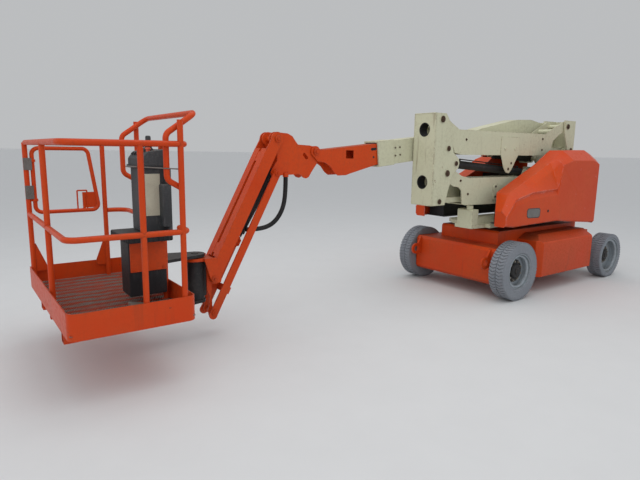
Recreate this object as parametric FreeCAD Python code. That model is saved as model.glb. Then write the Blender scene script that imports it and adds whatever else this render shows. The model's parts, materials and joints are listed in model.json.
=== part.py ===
import FreeCAD, Part
import math
import os

# Narrow electric articulating boom lift, parked with the boom folded down.
# Every length is in mm. x runs forward to the platform, y to the machine's left, z up.
# The layout is drawn from the middle of the wheelbase on the ground, then moved
# by SHIFT_X and SHIFT_Y so that the origin lies under the middle of the whole machine.

# Driving dimensions of the chassis
HALF_BASE = 1000.0        # half the wheelbase
HALF_WIDTH = 750.0        # outer faces of the tyres
FRONT_R = 317.5           # drive tyre radius
REAR_R = 279.5            # steer tyre radius
TYRE_W = 178.0
DECK_Z = 700.0            # top of the raised deck
SLEW_TOP = 735.0          # top of the slew ring
KING_Y = 520.0            # king pins from the middle plane
BATTERY_Y0 = 405.0        # inner faces of the battery boxes
LUG_X, LUG_Z = 1285.0, 400.0          # rings for the front lashing hooks
EAR_X, EAR_Y, EAR_R = -1200.0, 300.0, 15.0    # upright holes of the rear lashing ears

# Driving dimensions of the hood hinges
HINGE_X, HINGE_Y = -706.0, 345.0
HINGE_ROWS = ((862.0, 958.0), (1242.0, 1338.0))    # low and high ends of the hinge barrels

# Driving dimensions of the tower, seen from the side
TOWER_Y0, TOWER_Y1 = -20.0, 260.0     # outer faces of the upright
ARM_Y0, ARM_Y1 = 5.0, 235.0           # outer faces of the two arms
BASE_PIN, BASE_LINK = (-560.0, 1320.0), (-460.0, 1032.0)
LOW_PIN, LOW_LINK = (1690.0, 1350.0), (1790.0, 1062.0)
UP_PIN, UP_LINK = (1800.0, 1890.0), (1690.0, 1602.0)
TOP_PIN, TOP_LINK = (-560.0, 1905.0), (-670.0, 1617.0)
PLATE = 18.0
ARM_PLATE = 12.0
TOWER_FOOT, TOWER_HEAD = (155.0, 1340.0), (1560.0, 1450.0)

# Driving dimensions of the boom
BOOM_Y = -140.0
BOOM_PIVOT = (-620.0, 1850.0)
BOOM_DROP = math.radians(6.0)         # the parked boom falls this much towards its tip
BASE_W, BASE_H = 190.0, 236.0
FLY_W, FLY_H = 164.0, 206.0
JIB_HEAD_S, JIB_HEAD_N = 940.0, -90.0   # rod eye of the jib cylinder, in the jib's frame
LIFT_LOW, LIFT_HIGH = (-400.0, 1500.0), (520.0, 1555.0)
LEVEL_PIN = (3125.0, 1552.0)

# Driving dimensions of the jib
JIB_PIN, JIB_LINK = (3545.0, 1655.0), (3545.0, 1365.0)
JIB_LEN = 1300.0
JIB_DROP = math.radians(62.0)
ROTATOR_X = 4275.0

# Driving dimensions of the platform
PLAT_X0, PLAT_X1 = 4590.0, 5385.0
PLAT_Y0, PLAT_Y1 = -870.0, 650.0
PLAT_Z0, TOE_Z, MID_Z, RAIL_Z = 430.0, 600.0, 1030.0, 1590.0
FLOOR_Z = PLAT_Z0 + 30.0
TRAY_R = 60.0                         # rounded corners of the toe board on the left
TUBE_R = 19.0
WALL = 8.0
RAIL_X0, RAIL_X1 = PLAT_X0 + WALL + TUBE_R + 0.3, PLAT_X1 - WALL - TUBE_R - 0.3
RAIL_Y0, RAIL_Y1 = PLAT_Y0 + WALL + TUBE_R + 0.3, PLAT_Y1 - WALL - TUBE_R - 0.3
GATE_HINGE_X, GATE_LATCH_X = 5312.0, 4832.0
GATE_R = 16.0
POST_C_X = 4785.0                     # post at the latch side of the gate
GUARD_NEAR_Y, GUARD_FAR_Y = RAIL_Y1 - 2 * TUBE_R - 0.3, -391.7

# Driving dimensions of the hose, seen from the side
HOSE_R = 20.0
HOSE_Y = BOOM_Y + 62.0
HOSE_LINE = ((3437, 1328), (3437, 1165), (3474, 1022), (3566, 915), (3708, 878), (3866, 893))

SHIFT_X, SHIFT_Y = -2052.75, 60.0


def vec(x, y, z):
    return FreeCAD.Vector(x, y, z)


def box(x0, x1, y0, y1, z0, z1):
    return Part.makeBox(x1 - x0, y1 - y0, z1 - z0, vec(x0, y0, z0))


def prism_y(points, y0, y1):
    corners = [vec(x, y0, z) for x, z in points]
    face = Part.Face(Part.makePolygon(corners + corners[:1]))
    return face.extrude(vec(0, y1 - y0, 0))


def prism_x(points, x0, x1):
    corners = [vec(x0, y, z) for y, z in points]
    face = Part.Face(Part.makePolygon(corners + corners[:1]))
    return face.extrude(vec(x1 - x0, 0, 0))


def prism_z(points, z0, z1):
    corners = [vec(x, y, z0) for x, y in points]
    face = Part.Face(Part.makePolygon(corners + corners[:1]))
    return face.extrude(vec(0, 0, z1 - z0))


def cyl_x(y, z, r, x0, x1):
    return Part.makeCylinder(r, x1 - x0, vec(x0, y, z), vec(1, 0, 0))


def cyl_y(x, z, r, y0, y1):
    return Part.makeCylinder(r, y1 - y0, vec(x, y0, z), vec(0, 1, 0))


def cyl_z(x, y, r, z0, z1):
    return Part.makeCylinder(r, z1 - z0, vec(x, y, z0), vec(0, 0, 1))


def rod(p, q, r):
    start = vec(*p)
    run = vec(*q) - start
    return Part.makeCylinder(r, run.Length, start, run)


def fuse(shapes):
    whole = shapes[0]
    if len(shapes) > 1:
        whole = shapes[0].multiFuse(shapes[1:])
    return whole.removeSplitter()


def cut(shape, tools):
    return shape.cut(Part.makeCompound(tools))


def direction(p, q):
    """Unit vector from p to q in the side view, with its length."""
    dx, dz = q[0] - p[0], q[1] - p[1]
    length = math.hypot(dx, dz)
    return dx / length, dz / length, length


def along(p, u, s, n):
    """Point s along the unit vector u from p and n to its left side."""
    return p[0] + s * u[0] - n * u[1], p[1] + s * u[1] + n * u[0]


def bar(p, q, half, y0, y1, eye):
    """Flat link between two pins with a round eye at each end."""
    ux, uz, length = direction(p, q)
    corners = [along(p, (ux, uz), s, n)
               for s, n in ((0, -half), (length, -half), (length, half), (0, half))]
    return fuse([prism_y(corners, y0, y1),
                 cyl_y(p[0], p[1], eye, y0, y1),
                 cyl_y(q[0], q[1], eye, y0, y1)])


def rail(points, r=TUBE_R, bend=70.0):
    """Round tube along a line of points, each inner corner bent to a tangent arc.

    The bend radius is one number for every corner or a list with one for each.
    """
    bends = bend if isinstance(bend, list) else [bend] * (len(points) - 2)
    pts = [vec(*p) for p in points]
    edges = []
    last = pts[0]
    for i in range(1, len(pts) - 1):
        a = (pts[i - 1] - pts[i]).normalize()
        b = (pts[i + 1] - pts[i]).normalize()
        turn = math.pi - a.getAngle(b)
        bend = bends[i - 1]
        reach = bend * math.tan(turn / 2)
        start, end = pts[i] + a * reach, pts[i] + b * reach
        inward = (a + b).normalize()
        centre = pts[i] + inward * (bend / math.cos(turn / 2))
        middle = centre - inward * bend
        edges.append(Part.LineSegment(last, start).toShape())
        edges.append(Part.Arc(start, middle, end).toShape())
        last = end
    edges.append(Part.LineSegment(last, pts[-1]).toShape())
    path = Part.Wire(edges)
    ring = Part.Wire(Part.makeCircle(r, pts[0], pts[1] - pts[0]))
    return path.makePipeShell([ring], True, False)


def tube_loop(corners, r, bend):
    """Closed frame of round tube through four corners, made as two bent halves."""
    a, b, c, d = [vec(*p) for p in corners]
    start, middle = (a + b) * 0.5, (c + d) * 0.5
    halves = [[start, b, c, middle], [middle, d, a, start]]
    return fuse([rail([(p.x, p.y, p.z) for p in half], r, bend) for half in halves])


def revolve_y(profile, x, z):
    """Turn a closed (radius, y) outline about the axle line through x, z."""
    corners = [vec(x, y, z + r) for r, y in profile]
    face = Part.Face(Part.makePolygon(corners + corners[:1]))
    return face.revolve(vec(x, 0, z), vec(0, 1, 0), 360)


# Wheels
def tyre(x, side, radius, seat):
    out, inn = side * HALF_WIDTH, side * (HALF_WIDTH - TYRE_W)
    round_off = 26.0
    profile = [(seat, inn + side * 8), (seat + 12, inn), (radius - round_off, inn),
               (radius - 8, inn + side * 10), (radius, inn + side * round_off),
               (radius, out - side * round_off), (radius - 8, out - side * 10),
               (radius - round_off, out), (seat + 12, out), (seat, out - side * 8)]
    return revolve_y(profile, x, radius)


def rim(x, side, radius, seat, dish, hub_r):
    """Steel rim: barrel with rolled lips, dished disc and a hub cap."""
    out, inn = side * HALF_WIDTH, side * (HALF_WIDTH - TYRE_W)
    r = seat - 0.3
    face = out - side * dish
    shell = revolve_y([(r - 12, inn + side * 12), (r, inn + side * 12), (r, out - side * 12),
                       (r - 4, out - side * 6), (r - 12, out - side * 6),
                       (r - 14, out - side * 24), (r - 26, face),
                       (hub_r, face), (hub_r, face - side * 12), (r - 30, face - side * 12),
                       (r - 18, face - side * 26)], x, radius)
    hub = revolve_y([(0, face - side * 12), (hub_r, face - side * 12), (hub_r, face + side * 16),
                     (hub_r - 10, face + side * 26), (0, face + side * 26)], x, radius)
    return fuse([shell, hub])


def wheels():
    table = (("front", HALF_BASE, FRONT_R, 196.0, 78.0, 78.0),
             ("rear", -HALF_BASE, REAR_R, 226.0, 96.0, 60.0))
    parts = {}
    for end, x, radius, seat, dish, hub_r in table:
        for name, side in (("left", 1), ("right", -1)):
            parts["tyre_%s_%s" % (end, name)] = tyre(x, side, radius, seat)
            parts["rim_%s_%s" % (end, name)] = rim(x, side, radius, seat, dish, hub_r)
    return parts


# Chassis
def chassis_frame():
    half = BATTERY_Y0 - 0.3
    front = prism_y([(735, 150), (1170, 150), (1200, 180), (1200, 520), (1170, 550), (735, 550)],
                    -565, 565)
    middle = box(-640, 735, -half, half, 190, 560)
    deck = prism_y([(-700, 545), (940, 545), (940, 680), (920, DECK_Z), (-700, DECK_Z)],
                   -half, half)
    tail = prism_y([(-1150, 420), (-1120, 400), (-640, 400), (-640, 600), (-1150, 560)],
                   -350, 350)
    lugs = []
    for y in (-510, 488):
        plate = prism_y([(1195, 545), (1195, 330), (1240, 345), (1285, 400), (1262, 455),
                         (1212, 540)], y, y + 22)
        lugs.append(fuse([plate, cyl_y(LUG_X, LUG_Z, 66, y, y + 22)]))
    ears = [box(-1235, -1140, y, y + 70, 440, 460) for y in (-335, 265)]
    holes = [cyl_y(LUG_X, LUG_Z, 34, -520, 520)]
    for y in (-EAR_Y, EAR_Y):
        holes.append(cyl_z(EAR_X, y, EAR_R, 400, 500))
    return cut(fuse([front, middle, deck, tail] + lugs + ears), holes)


def battery_box(side):
    profile = [(BATTERY_Y0, 180), (690, 180), (700, 190), (700, 560), (690, 580), (575, 652),
               (BATTERY_Y0, 652)]
    body = prism_x([(side * y, z) for y, z in profile], -585, 565)
    nose = prism_z([(500, side * 701), (566, side * 701), (566, side * 640)], 170, 660)
    slope = prism_y([(430, 653), (566, 653), (566, 590)], -720, 720)
    return cut(body, [nose, slope])


def front_hubs():
    hubs = []
    for side in (-1, 1):
        y0, y1 = sorted((side * 565, side * 650))
        hubs.append(cyl_y(HALF_BASE, FRONT_R, 110, y0, y1))
    return Part.makeCompound(hubs)


def slew_ring():
    ring = cyl_z(0, 0, 330, DECK_Z, SLEW_TOP - 0.3)
    return cut(ring, [cyl_z(0, 0, 240, DECK_Z - 5, SLEW_TOP + 5)])


def rear_axle():
    beam = prism_x([(-425, 225), (425, 225), (425, 335), (110, 345), (110, 399.7), (-110, 399.7),
                    (-110, 345), (-425, 335)], -1055, -945)
    yokes = []
    bores = []
    for side in (-1, 1):
        y0, y1 = sorted((side * 400, side * KING_Y))
        for z in (195, 345):
            yokes.append(box(-1038, -962, y0, y1, z, z + 20))
            yokes.append(cyl_z(-HALF_BASE, side * KING_Y, 38, z, z + 20))
        web0, web1 = sorted((side * 400, side * 430))
        yokes.append(box(-1050, -950, web0, web1, 195, 365))
        bores.append(cyl_z(-HALF_BASE, side * KING_Y, 20.05, 150, 400))
    return cut(fuse([beam] + yokes), bores)


def steer_cylinder():
    barrel = cyl_y(-1140, 280, 34, -150, 150)
    saddles = [box(-1140, -1055, y, y + 20, 262, 298) for y in (-110, 90)]
    whole = fuse([barrel] + saddles)
    return cut(whole, [cyl_y(-1140, 280, 16.05, -160, 160)])


def steer_rod():
    """Rod through the cylinder, with a slot at each end for the arm's pin to wander in."""
    plates = []
    for side in (-1, 1):
        y0, y1 = sorted((side * 450, side * 528))
        plate = box(-1172, -1078, y0, y1, 268, 292)
        s0, s1 = sorted((side * 481, side * 519))
        plates.append(plate.cut(box(-1160, -1088, s0, s1, 260, 300)))
    return fuse([cyl_y(-1140, 280, 16, -455, 455)] + plates)


def knuckle(side):
    y = side * KING_Y
    y0, y1 = sorted((side * 480, side * 565))
    block = box(-1042, -958, y0, y1, 220, 340)
    pin = cyl_z(-HALF_BASE, y, 20, 190, 370)
    s0, s1 = sorted((side * 560, side * 640))
    spindle = cyl_y(-HALF_BASE, REAR_R, 55, s0, s1)
    arm0, arm1 = sorted((side * 485, side * 515))
    arm = fuse([box(-1160, -1040, arm0, arm1, 300, 318), cyl_z(-1140, side * 500, 12, 262, 318)])
    return fuse([block, pin, spindle, arm])


# Turntable
def turntable_frame():
    bed = fuse([prism_z([(-640, -330), (900, -330), (1000, -200), (1000, 330), (-640, 330),
                         (-690, 200), (-690, -200)], SLEW_TOP, 775),
                cyl_z(0, 0, 330, SLEW_TOP, 775),
                box(900, 1235, 30, 270, SLEW_TOP, 775)])
    outline = [(-680, 770), (420, 770), (300, 860), (-330, 1250), (-430, 1365), (-560, 1400),
               (-660, 1370), (-700, 1260), (-700, 900)]
    plates = [prism_y(outline, TOWER_Y0, TOWER_Y0 + PLATE),
              prism_y(outline, TOWER_Y1 - PLATE, TOWER_Y1)]
    pins = [cyl_y(BASE_PIN[0], BASE_PIN[1], 28, TOWER_Y0 - 8, TOWER_Y1 + 8),
            cyl_y(BASE_LINK[0], BASE_LINK[1], 22, TOWER_Y0 - 8, TOWER_Y1 + 8)]
    rest = fuse([prism_y([(1130, 770), (1235, 770), (1235, 935), (1225, 945), (1130, 945)], 60, 262),
                 box(700, 1131, 120, 230, 770, 850), cyl_z(1190, 190, 36, 940, 990)])
    return fuse([bed, rest] + plates + pins)


def counterweight():
    """Tail weight round the back of the tower, with the pins that carry the hoods."""
    block = box(-745, -560, -325, 325, 800, 1385)
    slot = box(-712, -550, TOWER_Y0 - 12, TOWER_Y1 + 12, 790, 1400)
    tail = cyl_z(0, 0, 745, 780, 1400)
    shapes = [block.common(tail).cut(slot)]
    for side in (-1, 1):
        y = side * HINGE_Y
        for low, high in HINGE_ROWS:
            for z in (low - 16.3, high + 0.3):
                outline = [(HINGE_X - 8, y), (HINGE_X + 8, y), (HINGE_X + 8, side * 327),
                           (-650, side * 327), (-650, side * 290), (HINGE_X - 8, side * 290)]
                shapes.append(prism_z(outline, z, z + 16))
                shapes.append(cyl_z(HINGE_X, y, 10, z, z + 16))
            shapes.append(cyl_z(HINGE_X, y, 8, low - 16.3, high + 16.3))
    return fuse(shapes)


HOOD_STATIONS = (
    # x, bottom, outer edge height, scoop depth, upper break (y, z), top, inner top y, inner y
    (-690.0, 716.0, 1440.0, 0.0, 590.0, 1500.0, 1560.0, 520.0, 335.0),
    (-560.0, 722.0, 1490.0, 0.0, 600.0, 1530.0, 1615.0, 500.0, 335.0),
    (-60.0, 766.0, 1490.0, 0.0, 600.0, 1530.0, 1605.0, 500.0, 335.0),
    (130.0, 786.0, 1440.0, 0.0, 590.0, 1480.0, 1500.0, 500.0, 335.0),
    (200.0, 788.0, 1172.0, 24.0, 560.0, 1380.0, 1455.0, 500.0, 335.0),
    (690.0, 780.0, 1148.0, 22.0, 565.0, 1190.0, 1240.0, 500.0, 335.0),
    (1010.0, 772.0, 1082.0, 10.0, 590.0, 1116.0, 1140.0, 540.0, 390.0),
    (1168.0, 790.0, 900.0, 0.0, 605.0, 935.0, 955.0, 575.0, 500.0),
)
HOOD_OUT = 645.0
HOOD_SKIN = 8.0


def hood_solid(side, skin):
    """Moulded hood as a ruled loft between cross sections, drawn in by skin."""
    wires = []
    last = len(HOOD_STATIONS) - 1
    for i, row in enumerate(HOOD_STATIONS):
        x, low, edge, scoop, break_y, break_z, top, top_y, inner = row
        if i == 0:
            x += skin
        if i == last:
            x -= skin
        inner -= 40.0 if skin else 0.0
        foot = low - (20.0 if skin else 0.0)
        ring = [(inner, foot), (HOOD_OUT - 25 - skin, foot), (HOOD_OUT - skin, low + 25),
                (HOOD_OUT - skin, edge - 75 - skin), (HOOD_OUT - scoop - skin, edge - 25 - skin),
                (HOOD_OUT - scoop / 3 - skin, edge - skin), (break_y - skin, break_z - skin),
                (top_y - skin, top - skin), (inner, top - skin)]
        corners = [vec(x, side * y, z) for y, z in ring]
        wires.append(Part.makePolygon(corners + corners[:1]))
    return Part.makeLoft(wires, True, True)


def hood(side):
    shell = hood_solid(side, 0.0).cut(hood_solid(side, HOOD_SKIN))
    y = side * HINGE_Y
    y0, y1 = sorted((y - side * 3, y + side * 14))
    barrels = []
    bores = []
    for low, high in HINGE_ROWS:
        barrels.append(cyl_z(HINGE_X, y, 14, low, high))
        barrels.append(box(HINGE_X, -689, y0, y1, low, high))
        bores.append(cyl_z(HINGE_X, y, 8.05, low - 5, high + 5))
    return cut(fuse([shell] + barrels), bores)


def tray_units(side):
    """Closed boxes that stand on the bed under each hood."""
    rows = ((-560, -80, 360, 610, 800, 1300), (-40, 480, 360, 600, 800, 1050),
            (520, 980, 360, 580, 800, 960))
    units = []
    for x0, x1, y0, y1, z0, z1 in rows:
        a, b = sorted((side * y0, side * y1))
        units.append(box(x0, x1, a, b, z0, z1))
    a, b = sorted((side * 330.3, side * 612))
    return fuse([box(-600, 1000, a, b, 790, 800)] + units)


# Tower
def arm_sides(pin_a, pin_b, outline):
    """Two like side plates with eyes round the main pins."""
    plates = []
    for y0, y1 in ((ARM_Y0, ARM_Y0 + ARM_PLATE), (ARM_Y1 - ARM_PLATE, ARM_Y1)):
        eyes = [cyl_y(p[0], p[1], 62, y0, y1) for p in (pin_a, pin_b)]
        bores = [cyl_y(p[0], p[1], 28.05, y0 - 5, y1 + 5) for p in (pin_a, pin_b)]
        plates.append(cut(fuse([prism_y(outline, y0, y1)] + eyes), bores))
    return plates


def arm_box(lid, floor, tubes):
    """Top and bottom plates and cross tubes between the side plates of an arm."""
    y0, y1 = ARM_Y0 + ARM_PLATE, ARM_Y1 - ARM_PLATE
    return ([prism_y(lid, y0, y1), prism_y(floor, y0, y1)]
            + [cyl_y(x, z, r, y0, y1) for x, z, r in tubes])


LOWER_OUTLINE = ((-620, 1290), (-600, 1370), (-530, 1372), (-440, 1300), (1280, 1292),
                 (1420, 1318), (1600, 1405), (1700, 1412), (1750, 1370), (1745, 1310),
                 (1640, 1255), (1545, 1210), (1460, 1197), (1412, 1163), (1392, 1012),
                 (1330, 1000), (-180, 978), (-220, 1040), (-330, 1150), (-480, 1250))
UPPER_OUTLINE = ((1860, 1875), (1840, 1940), (1760, 1948), (1620, 1860), (1500, 1800),
                 (-120, 1800), (-420, 1930), (-500, 1965), (-600, 1960), (-622, 1890),
                 (-580, 1850), (-440, 1812), (-292, 1722), (-250, 1555), (-180, 1540),
                 (1440, 1540), (1560, 1560), (1600, 1650), (1700, 1800))


def lower_arm():
    doubler = prism_y([(640, 1040), (860, 1040), (860, 1190), (830, 1215), (670, 1215),
                       (640, 1190)], ARM_Y1 - 0.5, ARM_Y1 + 6)
    right, left = arm_sides(BASE_PIN, LOW_PIN, LOWER_OUTLINE)
    return Part.makeCompound([right, fuse([left, doubler])])


def lower_arm_box():
    """Plates and tubes inside the lower arm, with the lugs of the tower cylinder."""
    shapes = arm_box([(-400, 1282), (1290, 1274), (1290, 1286), (-400, 1293)],
                     [(-170, 980), (1320, 1001), (1320, 1009), (-170, 988)],
                     ((-290, 1225, 34), (1440, 1262, 34)))
    lugs = [prism_y([(60, 1280), (250, 1280), (200, 1365), (160, 1385), (110, 1365)], y, y + 14)
            for y in (62, 164)]
    pin = cyl_y(TOWER_FOOT[0], TOWER_FOOT[1], 20, 62, 178)
    lid = fuse([shapes[0], pin] + lugs)
    return Part.makeCompound([lid] + shapes[1:])


def upper_arm():
    plate = prism_y([(420, 1745), (770, 1745), (770, 1560), (700, 1400), (650, 1345),
                     (590, 1335), (550, 1370), (420, 1560)], ARM_Y1 - 0.5, ARM_Y1 + 6)
    holes = [cyl_y(610, 1385, 16, ARM_Y1 - 5, ARM_Y1 + 10),
             cyl_y(560, 1450, 14, ARM_Y1 - 5, ARM_Y1 + 10)]
    right, left = arm_sides(TOP_PIN, UP_PIN, UPPER_OUTLINE)
    return Part.makeCompound([right, cut(fuse([left, plate]), holes)])


def upper_arm_box():
    return Part.makeCompound(arm_box([(-110, 1787), (1490, 1787), (1490, 1799), (-110, 1799)],
                                     [(-170, 1541), (1435, 1541), (1435, 1552), (-170, 1552)],
                                     ((-330, 1835, 34), (1600, 1778, 34))))


def link(p, q, half=28.0):
    piece = bar(p, q, half, 85.0, 155.0, 38.0)
    return cut(piece, [cyl_y(p[0], p[1], 22.05, 80, 160), cyl_y(q[0], q[1], 22.05, 80, 160)])


def upright():
    """Two like side plates, joined by the pins that they carry; the head pin leaves room
    for the tower cylinder's eye."""
    outline = [(1885.7, 1020), (1885.7, 1950), (1740, 1950), (1700, 1900), (1640, 1700),
               (1600, 1560), (1515, 1500), (1500, 1450), (1515, 1405), (1600, 1330),
               (1655, 1180), (1700, 1022)]
    plates = [prism_y(outline, TOWER_Y0, TOWER_Y0 + PLATE),
              prism_y(outline, TOWER_Y1 - PLATE, TOWER_Y1)]
    pins = []
    for (x, z), r in ((LOW_PIN, 28), (LOW_LINK, 22), (UP_PIN, 28), (UP_LINK, 22)):
        pins.append(cyl_y(x, z, r, TOWER_Y0 - 8, TOWER_Y1 + 8))
    for y0, y1 in ((TOWER_Y0 - 8, 86), (154, TOWER_Y1 + 8)):
        pins.append(cyl_y(TOWER_HEAD[0], TOWER_HEAD[1], 20, y0, y1))
    return fuse(plates + pins)


def upright_front():
    """Front plate of the upright with its two round windows and the middle web."""
    front = box(1886, 1902, TOWER_Y0, TOWER_Y1, 1020, 1950)
    windows = [cyl_x(120, z, 66, 1870, 1920) for z in (1786, 1257)]
    web = box(1850, 1887, TOWER_Y0 + PLATE, TOWER_Y1 - PLATE, 1470, 1500)
    return fuse([cut(front, windows), web])


def boom_mount():
    """Head of the tower that carries the main boom beside the upper arm."""
    outer = [(-745, 1500), (-640, 1440), (-380, 1440), (-330, 1500), (-360, 1580), (-500, 1700),
             (-500, 1980), (-745, 1980)]
    near = [(-745, 1570), (-620, 1570), (-500, 1840), (-500, 1980), (-745, 1980)]
    plates = [prism_y(near, TOWER_Y1 - PLATE, TOWER_Y1),
              prism_y(outer, -38, -2), prism_y(outer, -260, -242)]
    back = box(-745, -730, -258, 258, 1571, 1975)
    pins = []
    for (x, z), r, y0, y1 in ((TOP_PIN, 28, -10, 268), (TOP_LINK, 22, -10, 268),
                              (BOOM_PIVOT, 32, -268, -10), (LIFT_LOW, 24, -268, -10)):
        pins.append(cyl_y(x, z, r, y0, y1))
    return fuse([back] + plates + pins)


def cylinder_pair(foot, head, bore_r, rod_r, y, barrel_len, tail, eye_w, foot_r, head_r):
    """Hydraulic cylinder: barrel hinged at foot, rod whose eye holds its length of the pin."""
    ux, uz, length = direction(foot, head)
    y0, y1 = y - eye_w / 2, y + eye_w / 2

    def spot(s):
        x, z = along(foot, (ux, uz), s, 0)
        return x, y, z

    tube = rod(spot(bore_r * 0.6), spot(barrel_len), bore_r)
    gland = rod(spot(barrel_len), spot(barrel_len + 28), bore_r * 0.82)
    cavity = rod(spot(tail - 10), spot(barrel_len + 40), rod_r + 0.05)
    foot_eye = cyl_y(foot[0], foot[1], foot_r * 1.7, y0, y1)
    foot_bore = cyl_y(foot[0], foot[1], foot_r + 0.05, y - bore_r - 5, y + bore_r + 5)
    barrel = cut(fuse([tube, gland, foot_eye]),
                 [cavity, foot_bore])
    stem = rod(spot(tail), spot(length - head_r), rod_r)
    head_eye = cyl_y(head[0], head[1], head_r * 1.7, y0, y1)
    return barrel, fuse([stem, head_eye])


# Boom
BOOM_U = (math.cos(BOOM_DROP), -math.sin(BOOM_DROP))


def boom_point(s, n):
    return along(BOOM_PIVOT, BOOM_U, s, n)


def boom_prism(points, half_width):
    return prism_y([boom_point(s, n) for s, n in points], BOOM_Y - half_width,
                   BOOM_Y + half_width)


def boom_base():
    h, w = BASE_H / 2, BASE_W / 2
    outline = [(0, -95), (120, -h), (3015, -h), (3015, h), (1500, h), (1350, 140), (690, 196),
               (380, 178), (60, 95), (-60, 75), (-95, 0), (-70, -65)]
    tube = boom_prism(outline, w)
    cavity = boom_prism([(400, -h + 10), (3030, -h + 10), (3030, h - 10), (400, h - 10)], w - 8)
    collar = boom_prism([(2800, -h - 8), (3015, -h - 8), (3015, h + 8), (2800, h + 8)],
                        w + 8)
    bore = boom_prism([(2790, -h), (3030, -h), (3030, h), (2790, h)], w)
    lug = [(1030, -h), (1250, -h), (1190, -h - 88), (1150, -h - 100), (1105, -h - 88)]
    lugs = []
    for y in (-190, -108):
        lugs.append(prism_y([boom_point(s, n) for s, n in lug], y, y + 18))
    pins = [cyl_y(LIFT_HIGH[0], LIFT_HIGH[1], 24, y0, y1) for y0, y1 in ((-195, -173), (-107, -85))]
    pivot = cyl_y(BOOM_PIVOT[0], BOOM_PIVOT[1], 32.05, -300, 0)
    return cut(fuse([tube.cut(cavity), collar.cut(bore)] + pins + lugs), [pivot])


FLY_WINDOW = (3359.0, 31.0)           # along the boom and above its middle line


def boom_fly():
    """Telescoping inner boom: square tube whose side plates fold out to the level pin."""
    h, w = FLY_H / 2, FLY_W / 2
    outline = [(1400, -h), (3030, -h), (3380, -152), (3420, -160), (3520, -152), (3560, -120),
               (3600, -60), (3660, -15), (3740, 5), (3790, 60), (3790, h), (1400, h)]
    eye_x, eye_z = LEVEL_PIN
    tube = fuse([boom_prism(outline, w), cyl_y(eye_x, eye_z, 50, BOOM_Y - w, BOOM_Y + w)])
    cavity = boom_prism([(1380, -h + 8), (3240, -h + 8), (3240, -200), (3900, -200),
                         (3900, h + 60), (3640, h + 60), (3640, h - 8), (1380, h - 8)], w - 8)
    x, z = boom_point(*FLY_WINDOW)
    window = box(x - 46, x + 46, BOOM_Y - 120, BOOM_Y + 120, z - 38, z + 38)
    pin = cyl_y(eye_x, eye_z, 25.05, -300, 0)
    return cut(tube, [cavity, window, pin])


# Jib
JIB_U = (math.cos(JIB_DROP), -math.sin(JIB_DROP))


def jib_point(s, n, origin=JIB_PIN):
    """Point s down the jib from its pin and n in front of the pin line."""
    return along(origin, JIB_U, s, n)


def level_head():
    """Levelled gooseneck: two cheeks from the boom tip to the two jib pins."""
    cheek = [(3092, 1500), (3130, 1594), (3180, 1606), (3310, 1612), (3335, 1640), (3369, 1683), (3420, 1706),
             (3545, 1714), (3598, 1650), (3575, 1600), (3525, 1530), (3525, 1470), (3575, 1400),
             (3580, 1350), (3545, 1325), (3480, 1343), (3335, 1348), (3287, 1352), (3248, 1318),
             (3218, 1310), (3190, 1322), (3163, 1363), (3120, 1420), (3100, 1445)]
    shapes = []
    for side in (-1, 1):
        y0, y1 = sorted((BOOM_Y + side * 52, BOOM_Y + side * 66))
        shapes.append(prism_y(cheek, y0, y1))
        for (x, z), r in ((LEVEL_PIN, 50), (JIB_PIN, 60), (JIB_LINK, 42)):
            shapes.append(cyl_y(x, z, r, y0, y1))
    for (x, z), r, reach in ((LEVEL_PIN, 25, 94), (JIB_PIN, 24, 112), (JIB_LINK, 22, 112)):
        shapes.append(cyl_y(x, z, r, BOOM_Y - reach, BOOM_Y + reach))
    shapes.append(box(3330, 3345, BOOM_Y - 53, BOOM_Y + 53, 1355, 1600))
    shapes.append(cyl_z(HOSE_LINE[0][0], HOSE_Y, 26, HOSE_LINE[0][1], 1365))
    slots = [bar((3214, 1493), (3242, 1524), 15, BOOM_Y - 80, BOOM_Y + 80, 15)]
    return cut(fuse(shapes), slots)


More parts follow.
